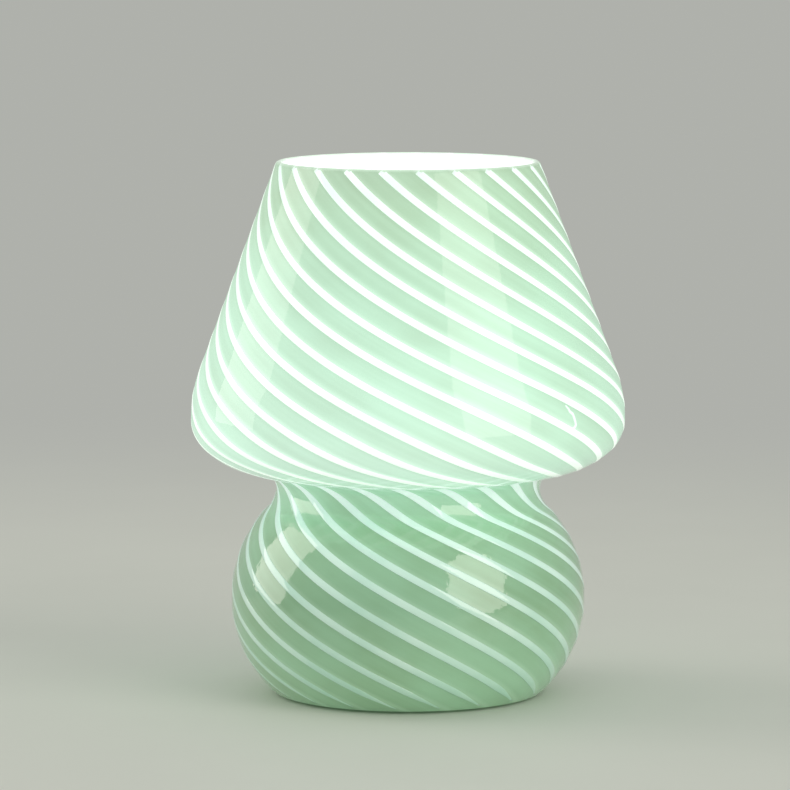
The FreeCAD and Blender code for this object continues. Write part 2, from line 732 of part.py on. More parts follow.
# --------------------------------------------------------------------------------------
# Plate in the neck, with its gasket, spring clips and rivets
# --------------------------------------------------------------------------------------
neck = foot + S.neck_height
plate_low = neck + S.plate_rise
plate_top = plate_low + S.plate_thickness
gasket_body = S.neck_radius - S.glass_wall - S.gasket_ease
plate_radius = gasket_body - S.gasket_wall
hollow = S.neck_curve + S.glass_wall
glass_at_gasket = (S.neck_radius + S.neck_curve
                   - root(hollow * hollow - S.gasket_seat * S.gasket_seat))
gasket_lip = glass_at_gasket - S.rest_gap
grip_radius = plate_radius - S.gasket_grip
clip_bend = grip_radius - S.clip_clearance
clip_start = clip_bend - S.clip_length
rivet_place = clip_start + S.clip_length / 2

plate = turned("neck_plate", [
    (S.sleeve_radius + S.fit, plate_low), (plate_radius, plate_low),
    (plate_radius, plate_top), (S.sleeve_radius + S.fit, plate_top),
])
doc.recompute()
rivet_holes = circle_sketch(plate, [(rivet_place, ZERO)], S.rivet_radius + S.fit, name="rivets")
offset_sketch(rivet_holes, z=plate_low)
repeat_about_z(plate, cut_through(plate, rivet_holes, S.plate_thickness * THROUGH), S.clip_count)

gasket = turned("plate_gasket", [
    (grip_radius, plate_low - S.gasket_flange), (gasket_body, plate_low - S.gasket_flange),
    (gasket_body, plate_low), (gasket_lip, neck + S.gasket_seat),
    (gasket_lip, plate_top + S.gasket_flange), (grip_radius, plate_top + S.gasket_flange),
    (grip_radius, plate_top + S.rest_gap), (plate_radius + S.rest_gap, plate_top + S.rest_gap),
    (plate_radius + S.rest_gap, plate_low - S.rest_gap), (grip_radius, plate_low - S.rest_gap),
])

lower_hollow = S.neck_lower_curve + S.glass_wall
grip_fall = S.clip_grip - S.plate_rise
glass_at_grip = (S.neck_radius + S.neck_lower_curve
                 - root(lower_hollow * lower_hollow - grip_fall * grip_fall))
clip_tip = glass_at_grip - S.clip_metal - S.rest_gap
strip_middle = plate_low - S.clip_metal / 2
one_clip = new_body("one_clip")
bend_strip(one_clip, [
    (clip_start, strip_middle),
    (clip_bend - S.clip_metal, strip_middle),
    (clip_bend - S.clip_metal, strip_middle - S.clip_step),
    (clip_tip, plate_low - S.clip_grip),
    (clip_tip - S.clip_curl, plate_low - S.clip_grip - S.clip_curl),
], S.clip_width, S.clip_metal)
doc.recompute()
clip_hole = circle_sketch(one_clip, [(rivet_place, ZERO)], S.rivet_radius + S.fit, name="rivet")
offset_sketch(clip_hole, z=plate_low)
cut_through(one_clip, clip_hole, S.clip_metal * THROUGH)
doc.recompute()
clips = group("spring_clips", round_about_z(one_clip.Shape, int(size_of("clip_count"))))

clip_low = plate_low - S.clip_metal
one_rivet = turned("one_rivet", [
    (ZERO, clip_low - S.rivet_height), (S.rivet_radius, clip_low - S.rivet_height),
    (S.rivet_head, clip_low), (S.rivet_radius, clip_low), (S.rivet_radius, plate_top),
    (S.rivet_head, plate_top), (S.rivet_radius, plate_top + S.rivet_height),
    (ZERO, plate_top + S.rivet_height),
])
doc.recompute()
rivet_shape = one_rivet.Shape.copy()
rivet_shape.translate(Vector(plain(rivet_place), 0, 0))
rivets = group("clip_rivets", round_about_z(rivet_shape, int(size_of("clip_count"))))

# --------------------------------------------------------------------------------------
# Holder for the bulb, clamped in the plate between two ring nuts
# --------------------------------------------------------------------------------------
sleeve_top = plate_low + S.sleeve_above
sleeve_low = sleeve_top - S.sleeve_length
sleeve_bore = S.sleeve_radius - S.sleeve_wall
nut_bore = S.sleeve_radius + S.fit

upper_nut = turned("upper_ring_nut", [
    (nut_bore, plate_top), (S.nut_flange, plate_top),
    (S.nut_flange, plate_top + S.nut_flange_thickness),
    (S.nut_grip, plate_top + S.nut_flange_thickness),
    (S.nut_grip, plate_top + S.nut_height), (nut_bore, plate_top + S.nut_height),
])
lower_nut = turned("lower_ring_nut", [
    (nut_bore, plate_low - S.nut_height), (S.nut_grip, plate_low - S.nut_height),
    (S.nut_grip, plate_low - S.nut_flange_thickness),
    (S.nut_flange, plate_low - S.nut_flange_thickness),
    (S.nut_flange, plate_low), (nut_bore, plate_low),
])
sleeve = turned("holder_sleeve", [
    (sleeve_bore, sleeve_low), (S.sleeve_radius, sleeve_low), (S.sleeve_radius, sleeve_top),
    (S.sleeve_mouth, sleeve_top), (S.sleeve_mouth, sleeve_top - S.sleeve_lip),
    (sleeve_bore, sleeve_top - S.sleeve_lip),
])

core_top = sleeve_top - S.sleeve_lip
bulb_low = core_top + S.free
cap_low = bulb_low - S.cap_height
eyelet_top = cap_low - S.insulator_height
bulb_tip = eyelet_top - S.eyelet_height
core_floor = bulb_tip - S.tongue_rise
core_low = core_floor - S.core_floor
shell_bore = S.cap_radius + S.free
shell_outside = shell_bore + S.shell_metal

core = turned("holder_core", [
    (ZERO, core_low), (sleeve_bore - S.fit, core_low),
    (sleeve_bore - S.fit, core_top), (shell_outside + S.fit, core_top),
    (shell_outside + S.fit, core_floor), (ZERO, core_floor),
])
shell = turned("screw_shell", [
    (shell_bore, core_floor), (shell_outside, core_floor),
    (shell_outside, sleeve_top - S.shell_depth), (shell_bore, sleeve_top - S.shell_depth),
])

tongue_low = core_floor + S.tongue_metal / 2
tongue_high = bulb_tip - S.rest_gap - S.tongue_metal / 2
tongue = new_body("centre_contact")
bend_strip(tongue, [
    (ZERO - S.tongue_foot, tongue_low),
    (S.tongue_flat - S.tongue_foot, tongue_low),
    (S.eyelet_radius / 2, tongue_high),
    (S.eyelet_radius, tongue_high - S.tongue_metal),
], S.tongue_width, S.tongue_metal)


def terminal_body():
    """A brass block with a screw hole up from below and a hole for the wire from the front."""
    body = new_body("one_terminal")
    square = outline_sketch(body, rectangle(S.terminal_width, S.terminal_width), "XY_Plane")
    offset_sketch(square, z=core_low - S.terminal_height)
    padded(body, square, S.terminal_height)
    doc.recompute()
    screw_hole = circle_sketch(body, [(ZERO, ZERO)], S.terminal_screw + S.rest_gap, name="screw_hole")
    offset_sketch(screw_hole, z=core_low - S.terminal_height)
    cut_through(body, screw_hole, S.terminal_height * 2, "screw_hole_cut")
    doc.recompute()
    wire_hole = circle_sketch(
        body, [(ZERO, core_low - S.terminal_height / 2)], S.terminal_wire, "XZ_Plane", "wire_hole")
    cut_through(body, wire_hole, S.terminal_width * THROUGH, "wire_hole_cut")
    doc.recompute()
    return body


one_terminal = terminal_body()
screw_low = core_low - S.terminal_height
one_screw = turned("one_terminal_screw", [
    (ZERO, screw_low - S.terminal_head_height), (S.terminal_head, screw_low - S.terminal_head_height),
    (S.terminal_head, screw_low), (S.terminal_screw, screw_low),
    (S.terminal_screw, core_low - S.rest_gap), (ZERO, core_low - S.rest_gap),
])
doc.recompute()


def pair(shape):
    """Two copies of a shape, one each side of the axis."""
    sides = []
    for side in (-1, 1):
        copy = shape.copy()
        copy.translate(Vector(side * size_of("terminal_spacing") / 2, 0, 0))
        sides.append(copy)
    return sides


terminals = group("terminal_blocks", pair(one_terminal.Shape))
screws = group("terminal_screws", pair(one_screw.Shape))

cover_bore = S.sleeve_radius + S.fit
cover_out = cover_bore + S.cover_wall
cover_low = sleeve_low - S.cover_depth
cover = turned("holder_cover", [
    (S.cover_entry, cover_low - S.cover_boss_height), (S.cover_boss, cover_low - S.cover_boss_height),
    (S.cover_boss, cover_low), (cover_out - S.cover_bevel, cover_low),
    (cover_out, cover_low + S.cover_bevel), (cover_out, sleeve_low + S.cover_overlap),
    (cover_bore, sleeve_low + S.cover_overlap), (cover_bore, sleeve_low),
    (sleeve_bore, sleeve_low), (sleeve_bore, cover_low + S.cover_bevel + S.cover_wall),
    (sleeve_bore - S.cover_bevel, cover_low + S.cover_wall), (S.cover_entry, cover_low + S.cover_wall),
])


# --------------------------------------------------------------------------------------
# The bulb
# --------------------------------------------------------------------------------------
globe_centre = sleeve_top + S.globe_rise
mouth_drop = root(S.globe_radius * S.globe_radius - S.globe_mouth * S.globe_mouth)
mouth = globe_centre - mouth_drop
globe_inside = S.globe_radius - S.globe_wall
mouth_inside = root(globe_inside * globe_inside - mouth_drop * mouth_drop)


def make_globe():
    """A hollow ball, open at the bottom."""
    body = new_body("bulb_globe")
    sketch = new_sketch(body)
    middle = Vector(0, plain(globe_centre), 0)
    arcs = []
    for radius, reach in ((S.globe_radius, S.globe_mouth), (globe_inside, mouth_inside)):
        low = -math.atan2(plain(mouth_drop), plain(reach))
        circle = Part.Circle(middle, UP, plain(radius))
        arcs.append(sketch.addGeometry(Part.ArcOfCircle(circle, low, math.pi / 2), False))
    outer, inner = arcs
    ends = [Vector(0, plain(globe_centre + S.globe_radius), 0),
            Vector(0, plain(globe_centre + globe_inside), 0),
            Vector(plain(mouth_inside), plain(mouth), 0), Vector(size_of("globe_mouth"), plain(mouth), 0)]
    crown = sketch.addGeometry(Part.LineSegment(ends[0], ends[1]), False)
    lip = sketch.addGeometry(Part.LineSegment(ends[2], ends[3]), False)
    for joined in ((outer, 2, crown, 1), (crown, 2, inner, 2), (inner, 1, lip, 1), (lip, 2, outer, 1),
                   (outer, 3, inner, 3)):
        sketch.addConstraint(Sketcher.Constraint("Coincident", *joined))
    sketch.addConstraint(Sketcher.Constraint("Vertical", crown))
    sketch.addConstraint(Sketcher.Constraint("Horizontal", lip))
    dimension(sketch, "DistanceX", outer, 3, ZERO)
    dimension(sketch, "DistanceY", outer, 3, globe_centre)
    dimension(sketch, "DistanceX", crown, 1, ZERO)
    dimension(sketch, "DistanceX", lip, 2, S.globe_mouth)
    dimension(sketch, "DistanceY", crown, 1, globe_centre + S.globe_radius)
    dimension(sketch, "DistanceY", crown, 2, globe_centre + globe_inside)
    revolve(body, sketch)
    return body


globe = make_globe()
rim = mouth - S.fit
ledge = rim - S.board_thickness
board_radius = S.globe_mouth - S.housing_wall
spigot = S.cap_radius - S.cap_metal - S.fit
spigot_bore = spigot - S.housing_wall
housing_bore = S.housing_foot - S.housing_wall
housing = turned("bulb_housing", [
    (spigot_bore, bulb_low - S.spigot_length), (spigot, bulb_low - S.spigot_length),
    (spigot, bulb_low), (S.housing_foot, bulb_low), (S.housing_foot, sleeve_top + S.housing_neck),
    (S.globe_mouth, rim - S.housing_rim), (S.globe_mouth, rim),
    (board_radius, rim), (board_radius, ledge),
    (board_radius - S.board_seat, ledge), (board_radius - S.board_seat, ledge - S.housing_rim),
    (housing_bore, sleeve_top + S.housing_neck), (spigot_bore, bulb_low),
])
screw_cap = turned("bulb_screw_cap", [
    (S.cap_radius - S.cap_metal, cap_low), (S.cap_radius, cap_low),
    (S.cap_radius, bulb_low), (S.cap_radius - S.cap_metal, bulb_low),
])
insulator_rim = S.cap_radius - S.cap_metal / 2
insulator = turned("bulb_insulator", [
    (ZERO, eyelet_top), (S.eyelet_radius + S.cap_metal, eyelet_top),
    (insulator_rim, cap_low - S.insulator_height / 4), (insulator_rim, cap_low), (ZERO, cap_low),
])
eyelet = turned("bulb_eyelet", [
    (ZERO, bulb_tip), (S.eyelet_radius / 2, bulb_tip), (S.eyelet_radius, eyelet_top), (ZERO, eyelet_top),
])
board = turned("led_board", [
    (ZERO, ledge), (board_radius - S.fit, ledge), (board_radius - S.fit, rim), (ZERO, rim),
])

one_chip = doc.addObject("Part::Box", "one_chip")
bind(one_chip, "Length", S.chip_side)
bind(one_chip, "Width", S.chip_side)
bind(one_chip, "Height", S.chip_height)
doc.recompute()
chip_shape = one_chip.Shape.copy()
chip_middle = size_of("chip_side") / 2
chip_shape.translate(Vector(size_of("chip_circle") - chip_middle, -chip_middle, plain(rim)))
chips = group("led_chips", round_about_z(chip_shape, int(size_of("chip_count"))))

driver = new_body("driver_board")
driver_sketch = outline_sketch(
    driver, rectangle(S.driver_width, S.driver_height, y=ledge - S.driver_height / 2))
padded(driver, driver_sketch, S.driver_thickness, both_ways=True)

capacitor = new_body("driver_capacitor")
can = circle_sketch(
    capacitor, [(ZERO, S.driver_thickness / 2 + S.capacitor_radius + S.rest_gap)], S.capacitor_radius)
offset_sketch(can, z=ledge - S.fit - S.capacitor_height)
padded(capacitor, can, S.capacitor_height)

# --------------------------------------------------------------------------------------
# Check everything, then write one file for each sub-part
# --------------------------------------------------------------------------------------
doc.recompute()
for item in doc.Objects:
    if "Invalid" in item.State or "Error" in item.State:
        raise ValueError(f"{item.Label} failed: {item.State}")

SUB_PARTS = [glass, canes, pads, grommet, plate, gasket, clips, rivets, upper_nut, lower_nut,
             sleeve, core, shell, tongue, terminals, screws, cover, globe, housing, screw_cap,
             insulator, eyelet, board, chips, driver, capacitor]
os.makedirs("parts", exist_ok=True)
for part in SUB_PARTS:
    shape = part.Shape
    if shape.isNull() or not shape.isValid() or min(solid.Volume for solid in shape.Solids) <= 0:
        raise ValueError(f"{part.Label} has no valid solid")
    box = shape.optimalBoundingBox()
    print(f"{part.Label:18s} {len(shape.Solids):3d} solids {len(shape.Faces):5d} faces "
          f"{shape.Volume:10.1f} mm3 z {box.ZMin:7.2f} to {box.ZMax:7.2f}")
    shape.exportStep(f"parts/{part.Label}.step")
print(f"{len(SUB_PARTS)} sub-parts")
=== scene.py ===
# %% [markdown]
# # A small mushroom lamp of swirled glass
#
# The lamp is one blown piece of mint green glass: a wide shade, a narrow neck and a round base,
# with white canes that wind round it from the open rim to the foot. A bulb is screwed into a
# holder in the neck and lights the shade from inside.
#
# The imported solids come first, as a fixed frame in metres. Every piece made here is drawn in
# place in that same frame, so nothing has to be fitted or moved afterwards.

import math

import bmesh
import bpy
from mathutils import Matrix, Vector


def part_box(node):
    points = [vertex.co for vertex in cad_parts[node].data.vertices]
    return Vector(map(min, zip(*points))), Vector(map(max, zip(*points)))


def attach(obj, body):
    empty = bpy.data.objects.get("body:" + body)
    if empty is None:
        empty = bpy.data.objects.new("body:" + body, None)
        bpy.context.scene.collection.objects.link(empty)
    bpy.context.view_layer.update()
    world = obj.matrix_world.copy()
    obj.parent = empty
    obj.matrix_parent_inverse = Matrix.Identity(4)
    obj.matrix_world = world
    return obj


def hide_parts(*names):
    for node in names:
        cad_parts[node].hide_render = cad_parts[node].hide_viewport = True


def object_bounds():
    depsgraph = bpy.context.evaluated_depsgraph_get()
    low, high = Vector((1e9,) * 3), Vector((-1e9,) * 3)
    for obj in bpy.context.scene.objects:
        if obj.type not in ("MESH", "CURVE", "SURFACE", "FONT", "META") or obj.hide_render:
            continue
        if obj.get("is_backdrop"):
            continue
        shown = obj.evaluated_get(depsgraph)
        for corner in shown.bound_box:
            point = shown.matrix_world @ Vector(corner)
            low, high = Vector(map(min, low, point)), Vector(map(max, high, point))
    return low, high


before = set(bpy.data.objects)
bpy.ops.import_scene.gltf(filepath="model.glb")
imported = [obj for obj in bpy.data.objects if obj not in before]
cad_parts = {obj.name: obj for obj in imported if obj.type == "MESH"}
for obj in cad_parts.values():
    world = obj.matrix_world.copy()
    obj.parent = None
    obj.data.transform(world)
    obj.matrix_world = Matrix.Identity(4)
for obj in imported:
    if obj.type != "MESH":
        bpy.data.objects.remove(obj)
solid_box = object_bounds()
scene = bpy.context.scene
scene.view_settings.view_transform = "Standard"

# %% [markdown]
# ## The camera
#
# A product photograph is taken from far away with a long lens, so that near and far parts keep
# almost the same scale. A camera could be aimed by eye, but its height and its tilt decide how
# much of the open rim is seen as an ellipse, so both are worked out once and kept as numbers:
# the lens looks slightly down from just above the rim.

# %% Place the camera
camera_distance = 1.7
camera_height = 0.3002
camera_tilt = math.radians(6.618)
frame_pixels = 790
lens_pixels = 4976.9
axis_right_of_middle = 13

camera = bpy.data.objects.new("camera", bpy.data.cameras.new("camera"))
scene.collection.objects.link(camera)
scene.camera = camera
camera.location = (0.0, -camera_distance, camera_height)
camera.rotation_euler = (math.pi / 2 - camera_tilt, 0.0, 0.0)
camera.data.sensor_width = 36.0
camera.data.lens = camera.data.sensor_width * lens_pixels / frame_pixels
camera.data.shift_x = -axis_right_of_middle / frame_pixels
camera.data.clip_start = 0.05
camera.data.clip_end = 80.0
print(f"lens {camera.data.lens:.1f} mm, {math.degrees(camera_tilt):.1f} degrees down")

# %% [markdown]
# ## Nodes written as arithmetic
#
# Most patterns and curved rules below are sums and products of numbers. Each could be wired by
# hand as a row of Math nodes, but a row of twenty hides the rule it holds. The class `Number`
# wraps a socket, so that Python's own `+` and `*` add the Math nodes, in a shader and in a
# Geometry Nodes tree alike. The class `Draft` holds the few steps that both kinds share.


# %% A socket that can be calculated with
def join(tree, value, socket):
    """Link a socket, or write a plain value into it."""
    if isinstance(value, Number):
        value = value.socket
    if isinstance(value, bpy.types.NodeSocket):
        tree.links.new(value, socket)
    else:
        socket.default_value = value


def add_node(tree, kind, inputs=None, **settings):
    """A new node, with its settings and its named or numbered inputs filled in."""
    node = tree.nodes.new(kind)
    for name, value in settings.items():
        setattr(node, name, value)
    for key, value in (inputs or {}).items():
        named = [socket for socket in node.inputs if socket.enabled and socket.name == key]
        join(tree, value, named[0] if named else node.inputs[key])
    return node


class Number:
    """One output of a node, which arithmetic turns into more nodes."""

    def __init__(self, tree, socket):
        self.tree = tree
        self.socket = socket

    def math(self, operation, *others):
        made = add_node(self.tree, "ShaderNodeMath", operation=operation)
        for value, socket in zip((self, *others), made.inputs):
            join(self.tree, value, socket)
        return Number(self.tree, made.outputs[0])

    def __add__(self, other):
        return self.math("ADD", other)

    def __sub__(self, other):
        return self.math("SUBTRACT", other)

    def __mul__(self, other):
        return self.math("MULTIPLY", other)

    def __truediv__(self, other):
        return self.math("DIVIDE", other)

    def between(self, low, high, at_low=0.0, at_high=1.0):
        """Runs smoothly from one value to the other while this number goes from low to high."""
        made = add_node(self.tree, "ShaderNodeMapRange", {
            "Value": self, "From Min": low, "From Max": high, "To Min": at_low, "To Max": at_high,
        }, interpolation_type="SMOOTHSTEP")
        return Number(self.tree, made.outputs["Result"])


class Draft:
    """A node tree while it is being written."""

    def __init__(self, tree):
        self.tree = tree

    def step(self, kind, inputs=None, output=0, **settings):
        """Add a node and give back one of its outputs."""
        node = add_node(self.tree, kind, inputs, **settings)
        return Number(self.tree, node.outputs[output])

    def axes_of(self, vector):
        """The three parts of a vector."""
        node = add_node(self.tree, "ShaderNodeSeparateXYZ", {0: vector})
        return [Number(self.tree, socket) for socket in node.outputs]

    def mixed(self, share, low, high):
        """A colour between two colours."""
        node = add_node(self.tree, "ShaderNodeMix", data_type="RGBA")
        for index, value in ((0, share), (6, low), (7, high)):
            join(self.tree, value, node.inputs[index])
        return Number(self.tree, node.outputs[2])


print("arithmetic helper ready")

# %% [markdown]
# ## The glass's outline
#
# A blown vessel has no flat places: its outline is a chain of arcs that run smoothly into each
# other. It could be drawn as a spline through many points, but arcs with real radii keep the
# same line as the solid and are easy to check. Each arc is kept as a centre, a radius and two
# angles, and the places where they meet are worked out from tangency.

# %% Sizes of the outline
mm = 0.001
foot_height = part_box("foot_pads")[1].z
glass_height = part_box("glass_body")[1].z - foot_height
glass_wall = 2.6 * mm
rim_radius = 45.0 * mm
shade_radius = 74.6 * mm
shade_rise = 24.1 * mm
shade_curve = 47.8 * mm
edge_curve = 14.0 * mm
edge_turn = math.radians(-48.6)
neck_curve = 6.0 * mm
neck_radius = 45.4 * mm
neck_height = 70.4 * mm
neck_lower_curve = 10.0 * mm
base_radius = 60.9 * mm
base_height = 32.5 * mm
base_lower_curve = 43.7 * mm
foot_curve = 1.5 * mm
punt_radius = 25.0 * mm
punt_depth = 1.2 * mm
print(f"glass {glass_height / mm:.1f} mm tall on {foot_height / mm:.1f} mm pads")


# %% The chain of arcs
def on_circle(centre, radius, angle):
    return (centre[0] + radius * math.cos(angle), centre[1] + radius * math.sin(angle))


def touching_radius(centre, radius, turn, hollow_centre, hollow_radius):
    """Radius of the arc that carries an arc on from a turn and just touches a hollow arc."""
    across = (centre[0] - hollow_centre[0], centre[1] - hollow_centre[1])
    along = across[0] * math.cos(turn) + across[1] * math.sin(turn)
    spare = math.hypot(*across) ** 2 + 2 * radius * along + radius ** 2 - hollow_radius ** 2
    return spare / (2 * (along + radius + hollow_radius))


def direction(start, end):
    return math.atan2(end[1] - start[1], end[0] - start[0])


def outline_of_glass():
    """The straight cone (start, end), then arcs (centre, radius, first, last), rim to foot."""
    rim = (rim_radius, glass_height)
    shade = (shade_radius - shade_curve, neck_height + shade_rise)
    cone = direction(shade, rim) - math.acos(shade_curve / math.dist(shade, rim))
    edge = (shade_radius - edge_curve, shade[1])
    upper = (neck_radius + neck_curve, neck_height)
    lower = (neck_radius + neck_lower_curve, neck_height)
    under_curve = touching_radius(edge, edge_curve, edge_turn, upper, neck_curve)
    under = on_circle(edge, edge_curve - under_curve, edge_turn)
    widest = (base_radius, base_height)
    base_curve = touching_radius(widest, 0.0, 0.0, lower, neck_lower_curve)
    base = (base_radius - base_curve, base_height)
    sole = (base_radius - base_lower_curve, base_height)
    sole_turn = -math.asin((base_height - foot_curve) / (base_lower_curve - foot_curve))
    foot = on_circle(sole, base_lower_curve - foot_curve, sole_turn)
    return [
        (rim, on_circle(shade, shade_curve, cone)),
        (shade, shade_curve, cone, 0.0),
        (edge, edge_curve, 0.0, edge_turn),
        (under, under_curve, edge_turn, direction(under, upper)),
        (upper, neck_curve, direction(under, upper) + math.pi, math.pi),
        (lower, neck_lower_curve, math.pi, direction(base, lower) + math.pi),
        (base, base_curve, direction(base, lower), 0.0),
        (sole, base_lower_curve, 0.0, sole_turn),
        (foot, foot_curve, sole_turn, -math.pi / 2),
    ]


outline = outline_of_glass()
print("arcs' radii in mm:", [round(piece[1] / mm, 1) for piece in outline[1:]])


# %% Walk down the wall
def length_of(piece):
    if len(piece) == 2:
        return math.dist(*piece)
    return piece[1] * abs(piece[3] - piece[2])


wall_length = sum(length_of(piece) for piece in outline)


def wall_at(distance):
    """(radius, height) so far down the wall from the rim, and the outward direction there."""
    for piece in outline:
        length = length_of(piece)
        if distance <= length or piece is outline[-1]:
            break
        distance -= length
    share = distance / length
    if len(piece) == 2:
        start, end = piece
        step = ((end[0] - start[0]) * share, (end[1] - start[1]) * share)
        out = direction(start, end) + math.pi / 2
        return (start[0] + step[0], start[1] + step[1]), (math.cos(out), math.sin(out))
    centre, radius, first, last = piece
    angle = first + share * (last - first)
    side = 1.0 if last < first and abs(first) < math.pi / 2 else -1.0
    return on_circle(centre, radius, angle), (side * math.cos(angle), side * math.sin(angle))


print(f"wall {wall_length / mm:.1f} mm from rim to foot")

# %% [markdown]
# ## How the swirl turns
#
# The glassmaker stretches and twists the hot glass, so a straight cane becomes a spiral. It
# turns a little faster half way down, where the glass was softest, and below the neck the canes
# drift apart on one side of the lamp and crowd on the other. One rule gives the angle for any
# place on the wall, and both the glass and the canes use it.

# %% The rule of the swirl
cane_count = 23
cane_phase = math.radians(3.4)
twist_rate = math.radians(1.38) / mm
twist_swell = math.radians(0.20) / mm
drift_start, drift_end = 100 * mm, 140 * mm
drift_most = math.radians(8)
drift_side = math.radians(10)


def twist(distance):
    """Radians turned between the rim and a point so far down the wall."""
    swell = twist_swell * wall_length / math.pi
    return twist_rate * distance + swell * (1 - math.cos(math.pi * distance / wall_length))


def drifted(distance, angle):
    """The angle at which the hand-turned glass really lies."""
    share = min(1.0, max(0.0, (distance - drift_start) / (drift_end - drift_start)))
    grown = share * share * (3 - 2 * share)
    return angle + drift_most * grown * math.sin(angle + drift_side)


def place(radius, height, angle):
    """A point of the frame: radius, height above the glass's foot, angle from the front."""
    return (radius * math.sin(angle), -radius * math.cos(angle), height + foot_height)


print(f"the canes turn {math.degrees(twist(wall_length)):.0f} degrees in all")

# %% [markdown]
# ## The glass wall
#
# The wall could be a revolved curve with a Solidify modifier, but then its rows and columns
# know nothing of the swirl. Here the mesh is woven row by row: each row is a circle at one
# distance down the wall, turned as far as the swirl has turned there. So the columns run along
# the canes, and the map that the material reads is simply the grid itself.


# %% Rows of the wall
def stations(longest, sharpest):
    """Distances down the wall, close together where it curves tightly."""
    passed, found = 0.0, []
    for piece in outline:
        length = length_of(piece)
        turning = abs(piece[3] - piece[2]) if len(piece) == 4 else 0.0
        parts = max(1, math.ceil(length / longest), math.ceil(turning / sharpest))
        found += [passed + length * i / parts for i in range(parts)]
        passed += length
    return found + [wall_length]


half_wall = glass_wall / 2
(rim_out, rim_up) = wall_at(0.0)[1]
rim_start = half_wall * (1 - rim_up) / rim_out
rim_normal = math.atan2(rim_up, rim_out)
rim_edge = wall_at(rim_start)[0]
rim_middle = (rim_edge[0] - half_wall * rim_out, rim_edge[1] - half_wall * rim_up)
lip_steps = 12


def wall_rows():
    """(radius, height, distance, inside) of every row, from under the foot, up the outside,
    over the rim and down the inside to the floor."""
    rows = []
    sphere = (punt_radius ** 2 + punt_depth ** 2) / (2 * punt_depth)
    for share in (0.3, 0.6, 0.85, 0.97, 1.0):
        radius = punt_radius * share
        rise = math.sqrt(sphere ** 2 - radius ** 2) - (sphere - punt_depth)
        rows.append((radius, rise, wall_length, 0.0))
    rows.append(((punt_radius + wall_at(wall_length)[0][0]) / 2, 0.0, wall_length, 0.0))
    for distance in reversed(stations(longest=2.0 * mm, sharpest=math.radians(4))):
        if distance > rim_start:
            rows.append((*wall_at(distance)[0], distance, 0.0))
    for i in range(lip_steps + 1):
        lip = on_circle(rim_middle, half_wall, rim_normal + math.pi * i / lip_steps)
        rows.append((*lip, 0.0, i / lip_steps))
    for distance in stations(longest=3.5 * mm, sharpest=math.radians(5)):
        (radius, height), (out, up) = wall_at(distance)
        if rim_start + half_wall < distance < wall_length - foot_curve * 2:
            inner = (radius - glass_wall * out, max(height - glass_wall * up, glass_wall))
            rows.append((*inner, distance, 1.0))
    for share in (0.75, 0.5, 0.25):
        rows.append((rows[-1][0] * share, glass_wall, wall_length, 1.0))
    return rows


print(f"{len(wall_rows())} rows")


# %% Weave the wall
def as_object(name, mesh):
    piece = bpy.data.objects.new(name, mesh)
    scene.collection.objects.link(piece)
    return piece


def from_bmesh(name, mesh):
    """Close the work on a bmesh and make it an object with smooth faces that point outwards."""
    for face in mesh.faces:
        face.smooth = True
    bmesh.ops.recalc_face_normals(mesh, faces=mesh.faces)
    data = bpy.data.meshes.new(name)
    mesh.to_mesh(data)
    mesh.free()
    return as_object(name, data)


def woven(name, rows, columns_per_cane):
    """A closed wall of rows that turn with the swirl, mapped by cane number and distance."""
    columns = cane_count * columns_per_cane
    mesh = bmesh.new()
    grid = []
    for radius, height, distance, inside in rows:
        turned = cane_phase + twist(distance)
        angles = [drifted(distance, turned + 2 * math.pi * i / columns) for i in range(columns)]
        grid.append([mesh.verts.new(place(radius, height, angle)) for angle in angles])
    swirl = mesh.loops.layers.uv.new("swirl")
    side = mesh.loops.layers.uv.new("side")

    def face_of(verts, marks):
        face = mesh.faces.new(verts)
        for loop, (column, row) in zip(face.loops, marks):
            loop[swirl].uv = (column / columns_per_cane, row[2] / wall_length)
            loop[side].uv = (row[3], 0.0)

    for (low, lower), (high, upper) in zip(zip(rows, grid), zip(rows[1:], grid[1:])):
        for i in range(columns):
            ahead = (i + 1) % columns
            face_of((lower[i], lower[ahead], upper[ahead], upper[i]),
                    ((i, low), (i + 1, low), (i + 1, high), (i, high)))
    for row, ring, height in ((rows[0], grid[0], punt_depth), (rows[-1], grid[-1], glass_wall)):
        pole = mesh.verts.new(place(0.0, height, 0.0))
        for i in range(columns):
            face_of((ring[i], ring[(i + 1) % columns], pole), ((i, row), (i + 1, row), (i, row)))
    return from_bmesh(name, mesh)


glass = woven("swirled_glass", wall_rows(), columns_per_cane=8)
print(f"glass wall: {len(glass.data.polygons)} faces")

# %% [markdown]
# The lead goes in through a hole low at the back. A hole could be drawn as a dark disc, but a
# real one shows the wall's thickness, so a round bar is cut out of the finished wall. The bar
# stands square to the wall, like the hole in the solid.

# %% Cut the hole for the lead
lead_hole = 5.0 * mm
lead_height = 18.0 * mm
hole_tilt = math.asin((base_height - lead_height) / base_lower_curve)
hole_reach = base_radius - base_lower_curve + base_lower_curve * math.cos(hole_tilt)
hole_point = Vector((0.0, hole_reach, lead_height + foot_height))
hole_out = Vector((0.0, math.cos(hole_tilt), -math.sin(hole_tilt)))


def turned_to(along):
    """The matrix that turns a shape drawn round the Z axis along a direction."""
    return along.to_track_quat("Z", "Y").to_matrix().to_4x4()


def bar(name, radius, length, middle, along, sides=64):
    """A round bar about a point, along a direction: a tool that cuts holes."""
    mesh = bmesh.new()
    bmesh.ops.create_cone(mesh, cap_ends=True, segments=sides, radius1=radius, radius2=radius,
                          depth=length)
    mesh.transform(turned_to(along))
    bmesh.ops.translate(mesh, verts=mesh.verts, vec=middle)
    return from_bmesh(name, mesh)


